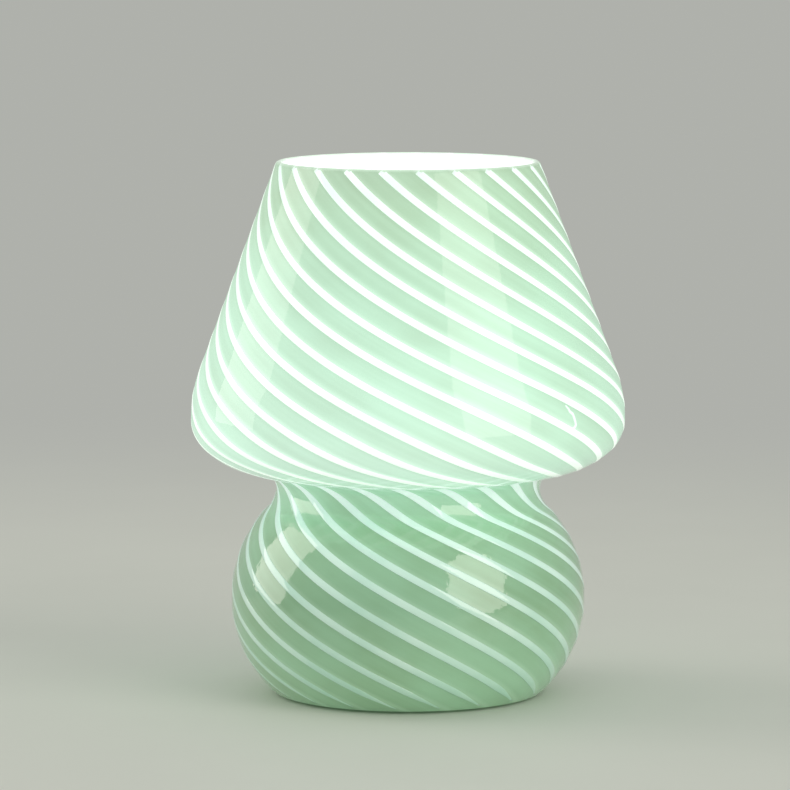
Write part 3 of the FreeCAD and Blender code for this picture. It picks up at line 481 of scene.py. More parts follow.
def cut_away(piece, tool):
    """Cut a tool out of a piece and throw the tool away."""
    change = piece.modifiers.new("cut", "BOOLEAN")
    change.object = tool
    change.solver = "EXACT"
    evaluated = piece.evaluated_get(bpy.context.evaluated_depsgraph_get())
    data = bpy.data.meshes.new_from_object(evaluated)
    piece.modifiers.clear()
    piece.data = data
    bpy.data.objects.remove(tool)


cut_away(glass, bar("hole_bar", lead_hole, glass_wall * 5, hole_point, hole_out))
print(f"glass wall with its hole: {len(glass.data.polygons)} faces")

# %% [markdown]
# ## A recipe for Geometry Nodes
#
# The canes and the small repeated parts are made by Geometry Nodes trees. A tree could be kept
# on its object as a live modifier, but the finished lamp is plain mesh, so each tree is run
# once and its result is kept. This class writes a tree with named inputs and closes it in the
# same way every time: instances become real, and the material is set.


# %% Write and run a tree
class Recipe(Draft):
    """A Geometry Nodes tree with named inputs, and the values that they get."""

    kinds = {int: "NodeSocketInt", float: "NodeSocketFloat",
             bpy.types.Material: "NodeSocketMaterial"}

    def __init__(self, name):
        super().__init__(bpy.data.node_groups.new(name, "GeometryNodeTree"))
        for in_out in ("INPUT", "OUTPUT"):
            self.tree.interface.new_socket("Geometry", in_out=in_out,
                                           socket_type="NodeSocketGeometry")
        self.group_input = self.tree.nodes.new("NodeGroupInput")
        self.values = {}

    def given(self, name, value):
        """A named input of the tree and the value it gets."""
        kind = self.kinds[type(value)]
        socket = self.tree.interface.new_socket(name, in_out="INPUT", socket_type=kind)
        self.values[socket.identifier] = value
        return Number(self.tree, self.group_input.outputs[name])

    def finish(self, geometry, material):
        real = self.step("GeometryNodeRealizeInstances", {0: geometry})
        painted = self.step("GeometryNodeSetMaterial", {
            "Geometry": real, "Material": self.given("Material", material)})
        add_node(self.tree, "NodeGroupOutput", {0: painted})

    def run(self, base, name):
        """Run the tree on a mesh object and keep only the plain result."""
        change = base.modifiers.new(self.tree.name, "NODES")
        change.node_group = self.tree
        for identifier, value in self.values.items():
            change[identifier] = value
        evaluated = base.evaluated_get(bpy.context.evaluated_depsgraph_get())
        data = bpy.data.meshes.new_from_object(evaluated)
        base.modifiers.remove(change)
        bpy.data.objects.remove(base)
        data.name = name
        return as_object(name, data)


print("recipe helper ready")

# %% [markdown]
# ## Materials as recipes too
#
# Every finish starts from one Principled shader, because it renders the same in every Blender
# and survives an export. What differs is the pattern that feeds it: clouds for glass and
# plastic, rings for turned metal, long streaks for brushed metal. Numbers that are the same
# all over a surface are written straight on the shader.


# %% Start a material
def srgb(red, green, blue):
    """A colour as it is seen on screen, from 0 to 255, in the linear values that nodes take."""
    parts = []
    for value in (red, green, blue):
        value /= 255
        parts.append(value / 12.92 if value <= 0.04045 else ((value + 0.055) / 1.055) ** 2.4)
    return (*parts, 1.0)


class Finish(Draft):
    """A material while its pattern is being written."""

    def __init__(self, name, **numbers):
        self.material = bpy.data.materials.new(name)
        self.material.use_nodes = True
        super().__init__(self.material.node_tree)
        self.shader = self.tree.nodes["Principled BSDF"]
        for socket, value in numbers.items():
            self.shader.inputs[socket.replace("_", " ")].default_value = value
        self.place = add_node(self.tree, "ShaderNodeTexCoord").outputs["Object"]

    def stretched(self, scales):
        """Object coordinates multiplied along each axis."""
        return self.step("ShaderNodeVectorMath", {0: self.place, 1: scales}, operation="MULTIPLY")

    def clouds(self, scale, vector=None, detail=2.0):
        """Soft noise between 0 and 1, in features of about 1 / scale metres."""
        return self.step("ShaderNodeTexNoise", {
            "Vector": vector or self.place, "Scale": scale, "Detail": detail})

    def clouds_over(self, *parts, detail=2.0):
        """The same noise over two or three numbers of the pattern's own."""
        return self.clouds(1.0, self.step("ShaderNodeCombineXYZ", dict(enumerate(parts))), detail)

    def send(self, socket, value):
        join(self.tree, value, self.shader.inputs[socket])

    def bump(self, height, depth, *sockets):
        """Relief of so many metres from a pattern between 0 and 1."""
        relief = self.step("ShaderNodeBump", {"Height": height, "Distance": depth, "Strength": 1.0})
        for socket in sockets or ("Normal",):
            self.send(socket, relief)


def paint(piece, material):
    """Make a material the only one of a piece."""
    piece.data.materials.clear()
    piece.data.materials.append(material)


print("finish helper ready")

# %% [markdown]
# ## Mint glass
#
# The real wall is coloured glass cased in a thin clear layer, lit from inside by the bulb. It
# could be made with transmission and a lamp inside, but the light that leaves such a wall is
# mostly scattered, so it looks like a surface that glows. Here the glow is an emission that
# follows the distance down the wall: strong round the bulb, and nearly gone at the foot. The
# clear layer is the shader's coat, which gives the sharp window reflections.

# %% How the glow falls down the wall
outer_glow = [
    (0, (0.25, 0.27, 0.24)), (14, (0.28, 0.34, 0.29)), (40, (0.33, 0.43, 0.38)),
    (70, (0.39, 0.51, 0.46)), (100, (0.43, 0.54, 0.50)), (118, (0.42, 0.54, 0.49)),
    (131, (0.18, 0.32, 0.24)), (146, (0.05, 0.09, 0.06)), (172, (0.0, 0.01, 0.005)),
    (200, (0.05, 0.08, 0.05)),
]
inner_glow = [
    (0, (0.84, 0.88, 0.84)), (16, (0.84, 0.86, 0.84)), (40, (0.40, 0.43, 0.40)),
    (110, (0.24, 0.27, 0.24)), (135, (0.08, 0.10, 0.08)), (160, (0.01, 0.02, 0.01)),
]
cane_glow = [
    (0, (0.52, 0.56, 0.54)), (60, (0.66, 0.66, 0.64)), (112, (0.66, 0.66, 0.64)),
    (126, (0.52, 0.55, 0.58)), (142, (0.20, 0.25, 0.26)), (175, (0.02, 0.05, 0.04)),
]


def down_the_wall(finish, down, stops):
    """A colour that runs through stops of (mm down the wall, colour)."""
    made = add_node(finish.tree, "ShaderNodeValToRGB", {"Fac": down})
    elements = made.color_ramp.elements
    while len(elements) < len(stops):
        elements.new(0.5)
    for element, (where, colour) in zip(elements, stops):
        element.position = where * mm / wall_length
        element.color = (*colour, 1.0)
    return Number(finish.tree, made.outputs["Color"])


def swirl_of(finish):
    """(cane number, share of the way down the wall, 0 outside to 1 inside)."""
    cane, down, _ = finish.axes_of(finish.step("ShaderNodeUVMap", uv_map="swirl"))
    inside, _, _ = finish.axes_of(finish.step("ShaderNodeUVMap", uv_map="side"))
    return cane, down, inside


print(len(outer_glow), "stops of glow outside,", len(inner_glow), "inside")


# %% The mint glass
glass_numbers = {"Roughness": 0.5, "Specular_IOR_Level": 0.2, "Coat_Roughness": 0.02,
                 "Coat_IOR": 1.8, "Emission_Strength": 1.0}
shade_end, base_start = 0.48, 0.56
wall_relief = 0.04 * mm


def mint_glass():
    finish = Finish("mint_glass", **glass_numbers)
    cane, down, inside = swirl_of(finish)
    patches = finish.clouds(26.0, finish.stretched((1.0, 1.0, 1.6)), detail=3.0)
    streaks = finish.clouds_over(cane * 2.4, down * 3.0, detail=4.0)

    # Painted glow makes the wall paler on one side of each cane, and painted shadow makes it darker
    # on the other.
    past = (cane + 0.5).math("FRACT") - 0.5
    apart = past.math("ABSOLUTE")
    beside = apart.between(0.10, 0.34, 1.0, 0.0)
    above = past.between(-0.16, 0.16)
    painted_halo_glow = beside * above
    under = beside * (above * -1.0 + 1.0)
    tone = patches.between(0.35, 0.65) * 0.7 + streaks.between(0.3, 0.7) * 0.3
    green = finish.mixed(tone, srgb(135, 180, 138), srgb(151, 200, 163))
    green = finish.mixed(painted_halo_glow * 0.22, green, srgb(214, 244, 224))
    green = finish.mixed(under * 0.16, green, srgb(112, 160, 122))

    # From inside, the wall is milky and the canes show through it as lines.
    line = apart.between(0.05, 0.11, 1.0, 0.0)
    milk = finish.mixed(line, srgb(184, 210, 192), srgb(222, 224, 226))
    finish.send("Base Color", finish.mixed(inside, green, milk))

    # The glow is stronger in the painted glow beside each cane and weaker in its painted shadow, and
    # it is dimmed towards the right as painted shade on that side.
    east = finish.axes_of(finish.place)[0]
    strength = streaks.between(0.2, 0.8, 0.94, 1.06) * (painted_halo_glow * 0.20 + 1.0) * (under * -0.10 + 1.0)
    strength = strength * (east.between(0.01, 0.07) * -0.20 + 1.03)
    glow = finish.step("ShaderNodeVectorMath", {
        0: down_the_wall(finish, down, outer_glow), 3: strength}, operation="SCALE")
    lit = finish.mixed(line * 0.5, down_the_wall(finish, down, inner_glow), (0.86, 0.84, 0.92, 1.0))
    finish.send("Emission Color", finish.mixed(inside, glow, lit))

    # The clear layer is dull on the shade and glossy on the base, with soft waves in it.
    finish.send("Coat Weight", down.between(shade_end, base_start, 0.42, 1.0))
    ripple = (cane * 2 * math.pi).math("COSINE") + finish.clouds(240.0, detail=3.0) * 2.4
    waves = ripple * down.between(0.50, 0.66, 0.1, 1.0) + finish.clouds(38.0, detail=1.0) * 0.6
    finish.bump(waves, wall_relief, "Normal", "Coat Normal")
    return finish.material


paint(glass, mint_glass())
print("mint glass on", glass.name)

# %% [markdown]
# ## White canes
#
# A cane is a thread of white glass that was laid on the hot wall and pressed nearly flat. All
# of them follow the rule of the swirl, so one Geometry Nodes tree makes them: a long tube is
# bent along the wall's outline into the first cane, with a low lens-shaped section, and copies
# of it are turned about the axis. A last step lets them drift as the wall does.


# %% The outline that the canes follow
def wall_line(rim_points=16):
    """The wall's outline as a line of edges from the top of the rim, radius in X, height in Z."""
    over = math.pi / 2 - rim_normal
    turns = [math.pi / 2 - over * i / rim_points for i in range(rim_points)]
    points = [on_circle(rim_middle, half_wall, turn) for turn in turns]
    below = [d for d in stations(longest=0.4 * mm, sharpest=math.radians(1)) if d >= rim_start]
    points += [wall_at(distance)[0] for distance in below]
    data = bpy.data.meshes.new("wall_line")
    data.from_pydata([(radius, 0.0, height) for radius, height in points],
                     [(i, i + 1) for i in range(len(points) - 1)], [])
    return as_object("wall_line", data), half_wall * over


line, rim_arc = wall_line()
print(f"{len(line.data.vertices)} points, {rim_arc / mm:.2f} mm of them over the rim")


# %% The white of the canes
def white_cane():
    finish = Finish("white_cane_glass", **glass_numbers)
    down, number = [finish.step("ShaderNodeAttribute", output="Fac", attribute_name=name)
                    for name in ("down", "cane")]
    threads = finish.clouds_over(number * 7.3, down * 16.0, detail=3.0).between(0.3, 0.7)
    pale = finish.mixed(threads, srgb(190, 230, 210), srgb(212, 242, 226))
    faded = finish.mixed(threads, srgb(182, 226, 200), srgb(202, 236, 214))
    finish.send("Base Color", finish.mixed(down.between(0.90, 0.99), pale, faded))
    finish.send("Emission Color", down_the_wall(finish, down, cane_glow))
    finish.send("Coat Weight", down.between(shade_end, base_start, 0.5, 1.0))
    finish.bump(finish.clouds(420.0, detail=2.0), wall_relief)
    return finish.material


white_glass = white_cane()
print("material", white_glass.name)


# %% The tree that makes the canes
def cane_recipe():
    recipe = Recipe("swirl_canes")
    count = recipe.given("Canes", cane_count)
    width = recipe.given("Width", 2.4 * mm)
    crown = recipe.given("Crown", 0.12 * mm)
    sunk = recipe.given("Sunk", 0.05 * mm)
    start = recipe.given("Upper end", rim_start - rim_arc * 0.25)
    end = recipe.given("Lower end", wall_length - 2.4 * mm)
    point = recipe.given("Point", 9.0 * mm)
    phase = recipe.given("Phase", cane_phase)
    rate = recipe.given("Twist rate", twist_rate)
    swell = recipe.given("Twist swell", twist_swell)
    whole = recipe.given("Wall length", wall_length)
    drift = recipe.given("Drift", drift_most)
    drift_turn = recipe.given("Drift side", drift_side)

    outline_curve = recipe.step("GeometryNodeMeshToCurve", {
        "Mesh": recipe.group_input.outputs["Geometry"]})

    def on_wall(distance):
        """(radius, height, out, up) so far down the wall."""
        sample = add_node(recipe.tree, "GeometryNodeSampleCurve", {
            "Curves": outline_curve, "Length": distance + rim_arc - rim_start}, mode="LENGTH")
        radius, _, height = recipe.axes_of(sample.outputs["Position"])
        along, _, fall = recipe.axes_of(sample.outputs["Tangent"])
        return radius, height, fall * -1.0, along

    # A straight tube along Z: its length becomes the way down the wall.
    tube = recipe.step("GeometryNodeMeshCylinder", {
        "Vertices": 12, "Side Segments": 200, "Radius": 1.0, "Depth": 2.0}, fill_type="NGON")
    across, lens, along = recipe.axes_of(recipe.step("GeometryNodeInputPosition"))
    down = start + (along * 0.5 + 0.5) * (end - start)
    tube = recipe.step("GeometryNodeStoreNamedAttribute", {
        "Geometry": tube, "Name": "down", "Value": down / whole}, data_type="FLOAT", domain="POINT")

    # Its width lies square to the cane's own slope, and its crown stands off the wall.
    tapered = down.between(end - point, end, 1.0, 0.25)
    slope = ((down / whole * math.pi).math("SINE") * swell + rate) * on_wall(down)[0]
    straight = (slope * slope + 1.0).math("INVERSE_SQRT")
    aside = across * tapered * (width * 0.5)
    radius, height, out, up = on_wall(down - aside * slope * straight)
    turned = (down / whole * math.pi).math("COSINE") * -1.0 + 1.0
    angle = phase + rate * down + swell * whole / math.pi * turned + aside * straight / radius
    above, below = lens.math("MAXIMUM", 0.0), lens.math("MINIMUM", 0.0)
    flattened = down.between(-rim_arc, 4.0 * mm, 0.1, 1.0)
    lift = above * above * crown * tapered * flattened - below * below * sunk
    reach = radius + lift * out
    spot = recipe.step("ShaderNodeCombineXYZ", {
        0: reach * angle.math("SINE"), 1: reach * angle.math("COSINE") * -1.0,
        2: height + lift * up + foot_height})
    first = recipe.step("GeometryNodeSetPosition", {"Geometry": tube, "Position": spot})
    first = recipe.step("GeometryNodeSetShadeSmooth", {"Geometry": first, "Shade Smooth": True})

    # Copies about the axis, which then drift as the wall does.
    index = recipe.step("GeometryNodeInputIndex")
    number = recipe.step("ShaderNodeCombineXYZ", {2: index * (2 * math.pi) / count})
    canes = recipe.step("GeometryNodeInstanceOnPoints", {
        "Points": recipe.step("GeometryNodePoints", {"Count": count}),
        "Instance": first, "Rotation": number})
    canes = recipe.step("GeometryNodeStoreNamedAttribute", {
        "Geometry": canes, "Name": "cane", "Value": index * 1.0},
        data_type="FLOAT", domain="INSTANCE")
    canes = recipe.step("GeometryNodeRealizeInstances", {"Geometry": canes})
    spot = recipe.step("GeometryNodeInputPosition")
    east, north, _ = recipe.axes_of(spot)
    angle = east.math("ARCTAN2", north * -1.0)
    down = recipe.step("GeometryNodeInputNamedAttribute", {"Name": "down"}, data_type="FLOAT") * whole
    turn = drift * down.between(drift_start, drift_end) * (angle + drift_turn).math("SINE")
    spot = recipe.step("ShaderNodeVectorRotate", {"Vector": spot, "Angle": turn},
                       rotation_type="Z_AXIS")
    canes = recipe.step("GeometryNodeSetPosition", {"Geometry": canes, "Position": spot})
    recipe.finish(canes, white_glass)
    return recipe


canes = cane_recipe().run(line, "swirl_canes")
print(f"canes: {len(canes.data.polygons)} faces, {[round(v / mm, 1) for v in canes.dimensions]} mm")

# %% [markdown]
# Hand-made glass has small flaws, and this one shows a thin thread that slipped from one cane
# to the next, low on the right of the shade. It follows no rule, so it gets a few listed points,
# and the same low section as the canes is carried along them.


# %% A stray thread
def on_glass(distance, turn, lift=0.0):
    """A point so many mm down the wall, degrees from the front and metres off the glass."""
    (radius, height), (out, up) = wall_at(distance * mm)
    return Vector(place(radius + lift * out, height + lift * up, math.radians(turn)))


def stray_thread(path, half_width, crown, between=6, spokes=10):
    """A thin thread through (mm down the wall, degrees from the front) points."""
    mesh = bmesh.new()
    fine = []
    for (d0, a0), (d1, a1) in zip(path, path[1:]):
        fine += [(d0 + (d1 - d0) * i / between, a0 + (a1 - a0) * i / between) for i in range(between)]
    fine.append(path[-1])
    rings = []
    for i, spot in enumerate(fine):
        middle = on_glass(*spot)
        normal = (on_glass(*spot, lift=1.0) - middle).normalized()
        run = on_glass(*fine[min(i + 1, len(fine) - 1)]) - on_glass(*fine[max(i - 1, 0)])
        aside = normal.cross(run).normalized()
        full = math.sin(math.pi * (i + 1) / (len(fine) + 1)) ** 0.3
        ring = []
        for j in range(spokes):
            spoke = 2 * math.pi * j / spokes
            wide = half_width * full * math.cos(spoke)
            lift = crown * full * max(math.sin(spoke), -0.6)
            ring.append(mesh.verts.new(middle + aside * wide + normal * lift))
        rings.append(ring)
    for lower, upper in zip(rings, rings[1:]):
        for j in range(spokes):
            ahead = (j + 1) % spokes
            mesh.faces.new((lower[j], lower[ahead], upper[ahead], upper[j]))
    mesh.faces.new(rings[0])
    mesh.faces.new(rings[-1])
    return from_bmesh("stray_thread", mesh)


thread_path = [(83.2, 45.6), (84.6, 46.6), (85.4, 46.9), (86.4, 48.0), (87.7, 48.4), (89.0, 48.7),
               (90.2, 48.9), (91.0, 48.3), (91.4, 47.2), (91.6, 45.8)]
stray = stray_thread(thread_path, half_width=0.55 * mm, crown=0.16 * mm)
print(f"stray thread: {len(stray.data.polygons)} faces")

# %% [markdown]
# ## Turned parts
#
# The bulb, its holder and the ring nuts are all turned or moulded round one axis. A plain
# cylinder would do as a stand-in, but its hard edges catch no light, so each part is spun from
# an outline whose corners are rounded. The same helper can ripple the radius, which turns a
# plain wall into a screw thread.


# %% Round the corners and spin
def rounded(corners, steps=5):
    """An outline through corners (radius, height, rounding) in mm; the rounding may be left out."""
    outline_points = []
    for i, corner in enumerate(corners):
        here, rounding = Vector(corner[:2]), corner[2] if len(corner) > 2 else 0.0
        if not rounding:
            outline_points.append(tuple(here))
            continue
        before = Vector(corners[i - 1][:2]) - here
        after = Vector(corners[(i + 1) % len(corners)][:2]) - here
        reach = rounding / math.tan(before.angle(after) / 2)
        reach = min(reach, before.length * 0.48, after.length * 0.48)
        start, end = here + before.normalized() * reach, here + after.normalized() * reach
        for j in range(steps + 1):
            t = j / steps
            outline_points.append(tuple(start.lerp(here, t).lerp(here.lerp(end, t), t)))
    return outline_points


def spun(name, outline_points, columns=96, ripple=None, sharp=35):
    """A closed piece spun round Z from an outline in mm; ripple adds mm to the radius."""
    mesh = bmesh.new()
    rings = []
    for radius, height in outline_points:
        if radius < 1e-6:
            rings.append([mesh.verts.new((0.0, 0.0, height * mm))])
            continue
        ring = []
        for i in range(columns):
            angle = 2 * math.pi * i / columns
            reach = (radius + (ripple(radius, height, angle) if ripple else 0.0)) * mm
            spot = (reach * math.cos(angle), reach * math.sin(angle), height * mm)
            ring.append(mesh.verts.new(spot))
        rings.append(ring)
    for lower, upper in zip(rings, rings[1:] + rings[:1]):
        for i in range(columns):
            ahead = (i + 1) % columns
            corners = (lower[i % len(lower)], lower[ahead % len(lower)],
                       upper[ahead % len(upper)], upper[i % len(upper)])
            corners = list(dict.fromkeys(corners))
            if len(corners) > 2:
                mesh.faces.new(corners)
    piece = from_bmesh(name, mesh)
    piece.data.set_sharp_from_angle(angle=math.radians(sharp))
    return piece


def upright(radius, low, high, step):
    """Points up (or down) a straight wall, close enough together to carry a thread."""
    parts = math.ceil(abs(high - low) / step)
    return [(radius, low + (high - low) * i / parts) for i in range(parts + 1)]


def thread(pitch, depth, low, high, walls=0.0):
    """A ripple for a right-handed thread between two heights, on walls beyond a radius."""
    def ripple(radius, height, angle):
        fade = max(0.0, min(1.0, (height - low) / pitch, (high - height) / pitch))
        wave = 0.5 - 0.5 * math.cos(2 * math.pi * height / pitch - angle)
        return -depth * fade * wave if radius > walls else 0.0
    return ripple


def heights(box):
    """A solid's lowest and highest z in mm, from its box."""
    return [corner.z / mm for corner in box]


print("turning helpers ready")

# %% [markdown]
# Some parts come as a ring of copies: pads, rivets, the grip of a ring nut. Each could be
# placed in a Python loop, but a Geometry Nodes tree with a named count does it in one step and
# is easy to change. The first copy is drawn where it belongs, and the tree turns the others
# about the lamp's axis.


# %% A ring of copies
def ring_of(name, first, count, material, start=0.0):
    recipe = Recipe(name)
    number = recipe.given("Count", count)
    turn = recipe.given("First angle", start)
    index = recipe.step("GeometryNodeInputIndex")
    angle = recipe.step("ShaderNodeCombineXYZ", {2: index * (2 * math.pi) / number + turn})
    copies = recipe.step("GeometryNodeInstanceOnPoints", {
        "Points": recipe.step("GeometryNodePoints", {"Count": number}),
        "Instance": recipe.group_input.outputs["Geometry"], "Rotation": angle})
    recipe.finish(copies, material)
    return recipe.run(first, name)


def moved(piece, x):
    """Move a piece's mesh out from the axis, in mm, and keep its object at the origin."""
    piece.data.transform(Matrix.Translation((x * mm, 0.0, 0.0)))
    return piece


def dress(piece, body, slot, *nodes, material=None):
    """Give a piece its material and its body, and let it stand for its solids."""
    if material:
        paint(piece, material)
    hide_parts(*nodes)
    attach(piece, body)
    print(f"{piece.name}: {len(piece.data.polygons)} faces on {body}")


dress(glass, "lamp", "mint_glass", "glass_body")
dress(canes, "lamp", "white_glass", "white_canes")
dress(stray, "lamp", "white_glass", "white_canes", material=white_glass)

# %% [markdown]
# ## Finishes of the small parts
#
# The small parts are plastic, rubber, enamel and metal. One flat colour each would look like
# a toy, so plastic gets the faint grain of its mould, turned metal gets fine rings round the
# axis, and strip metal gets streaks along its length.


# %% Plastic, rubber and enamel
def moulded(name, light, dark, grain=900.0, depth=0.02 * mm, **numbers):
    """Plastic, rubber or enamel: soft patches of colour and a fine grain in relief."""
    finish = Finish(name, **numbers)
    patches = finish.clouds(60.0, detail=3.0).between(0.35, 0.65)
    finish.send("Base Color", finish.mixed(patches, dark, light))
    finish.bump(finish.clouds(grain, detail=2.0), depth)
    return finish.material


white_plastic = moulded("white_plastic", srgb(243, 242, 238), srgb(236, 235, 229), Roughness=0.38)
bulb_plastic = moulded("bulb_plastic", srgb(246, 246, 244), srgb(240, 240, 237), 1400.0, 0.01 * mm,
                       Roughness=0.22, Coat_Weight=0.4, Coat_Roughness=0.1)
insulation = moulded("holder_insulation", srgb(236, 231, 216), srgb(224, 218, 201), 700.0,
                     0.03 * mm, Roughness=0.6)
enamel = moulded("white_enamel", srgb(242, 242, 239), srgb(236, 236, 232), 300.0, 0.01 * mm,
                 Roughness=0.3, Coat_Weight=0.8, Coat_Roughness=0.05)
grey_rubber = moulded("grommet_rubber", srgb(222, 224, 221), srgb(211, 213, 209), 1200.0,
                      0.03 * mm, Roughness=0.7)
gasket_rubber = moulded("gasket_rubber", srgb(226, 226, 220), srgb(216, 216, 209), 1000.0,
                        0.03 * mm, Roughness=0.65)
clear_rubber = moulded("clear_rubber", srgb(214, 218, 215), srgb(202, 206, 202), 800.0,
                       Roughness=0.35, Subsurface_Weight=0.3, Subsurface_Scale=2.0 * mm)
black_glass = moulded("black_insulator", srgb(26, 26, 28), srgb(16, 16, 18), 500.0, 0.01 * mm,
                      Roughness=0.12, Coat_Weight=0.6, Coat_Roughness=0.04)
print("plastics, rubbers and enamel ready")


# %% Metals
def metal(name, light, dark, pattern, depth=0.012 * mm):
    """Metal whose colour, gloss and relief follow one pattern of fine lines."""
    finish = Finish(name, Metallic=1.0)
    lines = pattern(finish)
    finish.send("Base Color", finish.mixed(lines.between(0.25, 0.75), dark, light))
    finish.send("Roughness", lines.between(0.2, 0.8, 0.34, 0.20))
    finish.bump(lines, depth)
    return finish.material


def round_the_axis(finish):
    """(distance from the lamp's axis, angle round it, height) in metres and radians."""
    x, y, z = finish.axes_of(finish.place)
    return (x * x + y * y).math("SQRT"), x.math("ARCTAN2", y), z


def rings(finish):
    """Fine rings round the lamp's axis, as a lathe or a rolling die leaves them."""
    away, _, z = round_the_axis(finish)
    return finish.clouds_over(away * 5200.0, z * 5200.0)


def streaks_out(finish):
    """Streaks that run outwards from the axis, along each spring strip."""
    away, around, z = round_the_axis(finish)
    return finish.clouds_over(around * 260.0, away * 150.0, z * 150.0, detail=3.0)


def dull(finish):
    """The even, slightly pitted skin of solder or a punched part."""
    return finish.clouds(1500.0, detail=3.0)


nickel = metal("nickel", srgb(226, 221, 212), srgb(200, 195, 185), rings)
aluminium = metal("rivet_aluminium", srgb(232, 232, 234), srgb(205, 205, 208), rings)
steel = metal("spring_steel", srgb(204, 205, 208), srgb(172, 173, 177), streaks_out)
screw_steel = metal("screw_steel", srgb(212, 212, 215), srgb(186, 186, 190), dull)
brass = metal("contact_brass", srgb(231, 206, 150), srgb(205, 172, 108), dull)
solder = metal("solder", srgb(214, 215, 218), srgb(176, 177, 181), dull, depth=0.05 * mm)
print("metals ready")

# %% [markdown]
# ## The bulb
#
# The bulb is a small white globe on a plastic housing with a rolled screw cap. The globe is
# opal plastic, lit from inside; it could be made see-through with lamps in it, but a milky
# ball that glows by itself looks the same and lights the inside of the shade.
# The globe only rises when the bulb is unscrewed, and everything below it rises and turns, so
# they ride on two bodies.


# %% The globe
globe_low, globe_high = heights(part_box("bulb_globe"))
globe_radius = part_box("bulb_globe")[1].x / mm
globe_centre = globe_high - globe_radius
globe_wall, globe_mouth = 1.2, 15.0


def opal():
    """Opal plastic, a little brighter towards the crown than round the mouth."""
    finish = Finish("bulb_diffuser", Roughness=0.3, IOR=1.5, Emission_Strength=1.0)
    haze = finish.clouds(45.0, detail=2.0).between(0.3, 0.7)
    finish.send("Base Color", finish.mixed(haze, srgb(226, 225, 220), srgb(233, 233, 229)))
    rise = finish.axes_of(finish.place)[2].between(globe_low * mm, globe_high * mm)
    glow = finish.mixed(rise, (0.10, 0.10, 0.09, 1.0), (0.34, 0.33, 0.30, 1.0))
    finish.send("Emission Color", glow)
    finish.bump(finish.clouds(1600.0, detail=1.0), 0.01 * mm)
    return finish.material


def ball_line(radius, parts):
    """A ball's outline from its open mouth up to its crown."""
    first = math.asin((globe_low - globe_centre) / radius)
    angles = [first + (math.pi / 2 - first) * i / parts for i in range(parts)]
    return [(radius * math.cos(a), globe_centre + radius * math.sin(a)) for a in angles] + [
        (0.0, globe_centre + radius)]


outer_side, inner_side = ball_line(globe_radius, 48), ball_line(globe_radius - globe_wall, 24)
globe = spun("opal_globe", outer_side + inner_side[::-1])
dress(globe, "bulb_rise", "bulb_diffuser", "bulb_globe", material=opal())

# %% The housing
sleeve_low, sleeve_top = heights(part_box("holder_sleeve"))
housing_low, housing_top = heights(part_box("bulb_housing"))
cap_low, cap_top = heights(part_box("bulb_screw_cap"))
housing_bore, housing_neck, housing_waist = 4.95, 6.45, 8.0
globe_seat, board_seat, board_hole = 13.5, 12.5, 6.5
waist_top = sleeve_top + 1.2
housing = spun("bulb_shell", rounded([
    (housing_bore, housing_low), (housing_neck, housing_low), (housing_neck, cap_top),
    (housing_waist, cap_top, 0.4), (housing_waist, waist_top, 7.0),
    (globe_mouth, housing_top - 2.5, 5.0), (globe_mouth, housing_top, 0.25),
    (globe_seat, housing_top), (globe_seat, housing_top - 1.2), (board_seat, housing_top - 1.2),
    (board_seat, housing_top - 3.7), (board_hole, waist_top),
    (housing_bore, cap_top)]))
dress(housing, "bulb", "bulb_plastic", "bulb_housing", material=bulb_plastic)

# %% The screw cap, its insulator and its tip
screw_pitch = 2.82


def rolled(name, outer, inner, low, high, groove):
    """A thin metal shell with the bulb's thread rolled into it."""
    walls = upright(outer, low, high, step=0.28) + upright(inner, high, low, step=0.28)
    return spun(name, walls, columns=72, ripple=groove, sharp=60)


cap_radius, cap_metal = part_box("bulb_screw_cap")[1].x / mm, 0.35
screw_cap = rolled("rolled_cap", cap_radius, cap_radius - cap_metal, cap_low, cap_top,
                   thread(screw_pitch, 0.62, cap_low + 0.4, cap_top - 1.2))
dress(screw_cap, "bulb", "nickel", "bulb_screw_cap", material=nickel)
tip_low, tip_top = heights(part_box("bulb_eyelet"))
bead_nose, bead_radius = 2.75, 6.72
insulator = spun("glass_bead", rounded([
    (0.0, tip_top), (bead_nose, tip_top, 0.3), (bead_radius, cap_low - 0.65, 0.7),
    (bead_radius, cap_low), (0.0, cap_low)]))
dress(insulator, "bulb", "black_insulator", "bulb_insulator", material=black_glass)
tip = spun("soldered_tip", rounded([
    (0.0, tip_low), (1.9, tip_low, 1.2), (2.4, tip_top, 0.2), (0.0, tip_top)]), columns=48)
dress(tip, "bulb", "solder", "bulb_eyelet", material=solder)

# %% [markdown]
# ## The holder in the neck
#
# The holder is a white sleeve with a coarse thread outside, on which two ring nuts clamp the
# neck plate. The screw shell inside it has the same rolled thread as the bulb's cap, and both
# threads start at the same angle, so they mesh whichever way the bulb is turned.

# %% The sleeve and the shell
sleeve_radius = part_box("holder_sleeve")[1].x / mm
mouth_radius, core_radius = 8.8, 11.8
core_top = sleeve_top - 2.0
outer_side = upright(sleeve_radius, sleeve_low, sleeve_top - 1.0, step=0.33)
inner_side = rounded([
    (sleeve_radius, sleeve_top, 0.7), (mouth_radius, sleeve_top, 0.6), (mouth_radius, core_top),
    (core_radius, core_top), (core_radius, sleeve_low)])
sleeve = spun("threaded_sleeve", outer_side + inner_side, columns=72, sharp=60,
              ripple=thread(2.0, 0.5, sleeve_low, core_top, walls=13.5))
dress(sleeve, "lamp", "white_plastic", "holder_sleeve", material=white_plastic)
shell_low, shell_top = heights(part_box("screw_shell"))
shell_radius, shell_bore = 7.6, 7.2
shell = rolled("screw_shell_rolled", shell_radius, shell_bore, shell_low, shell_top,
               thread(screw_pitch, 0.4, shell_low, shell_top))
dress(shell, "lamp", "nickel", "screw_shell", material=nickel)


# %% The ring nuts
nut_bore, nut_collar, nut_flange = 14.1, 17.0, 21.0
flange_thickness, nut_height = 1.6, 6.0
ridge_count, ridge_radius = 40, 0.62


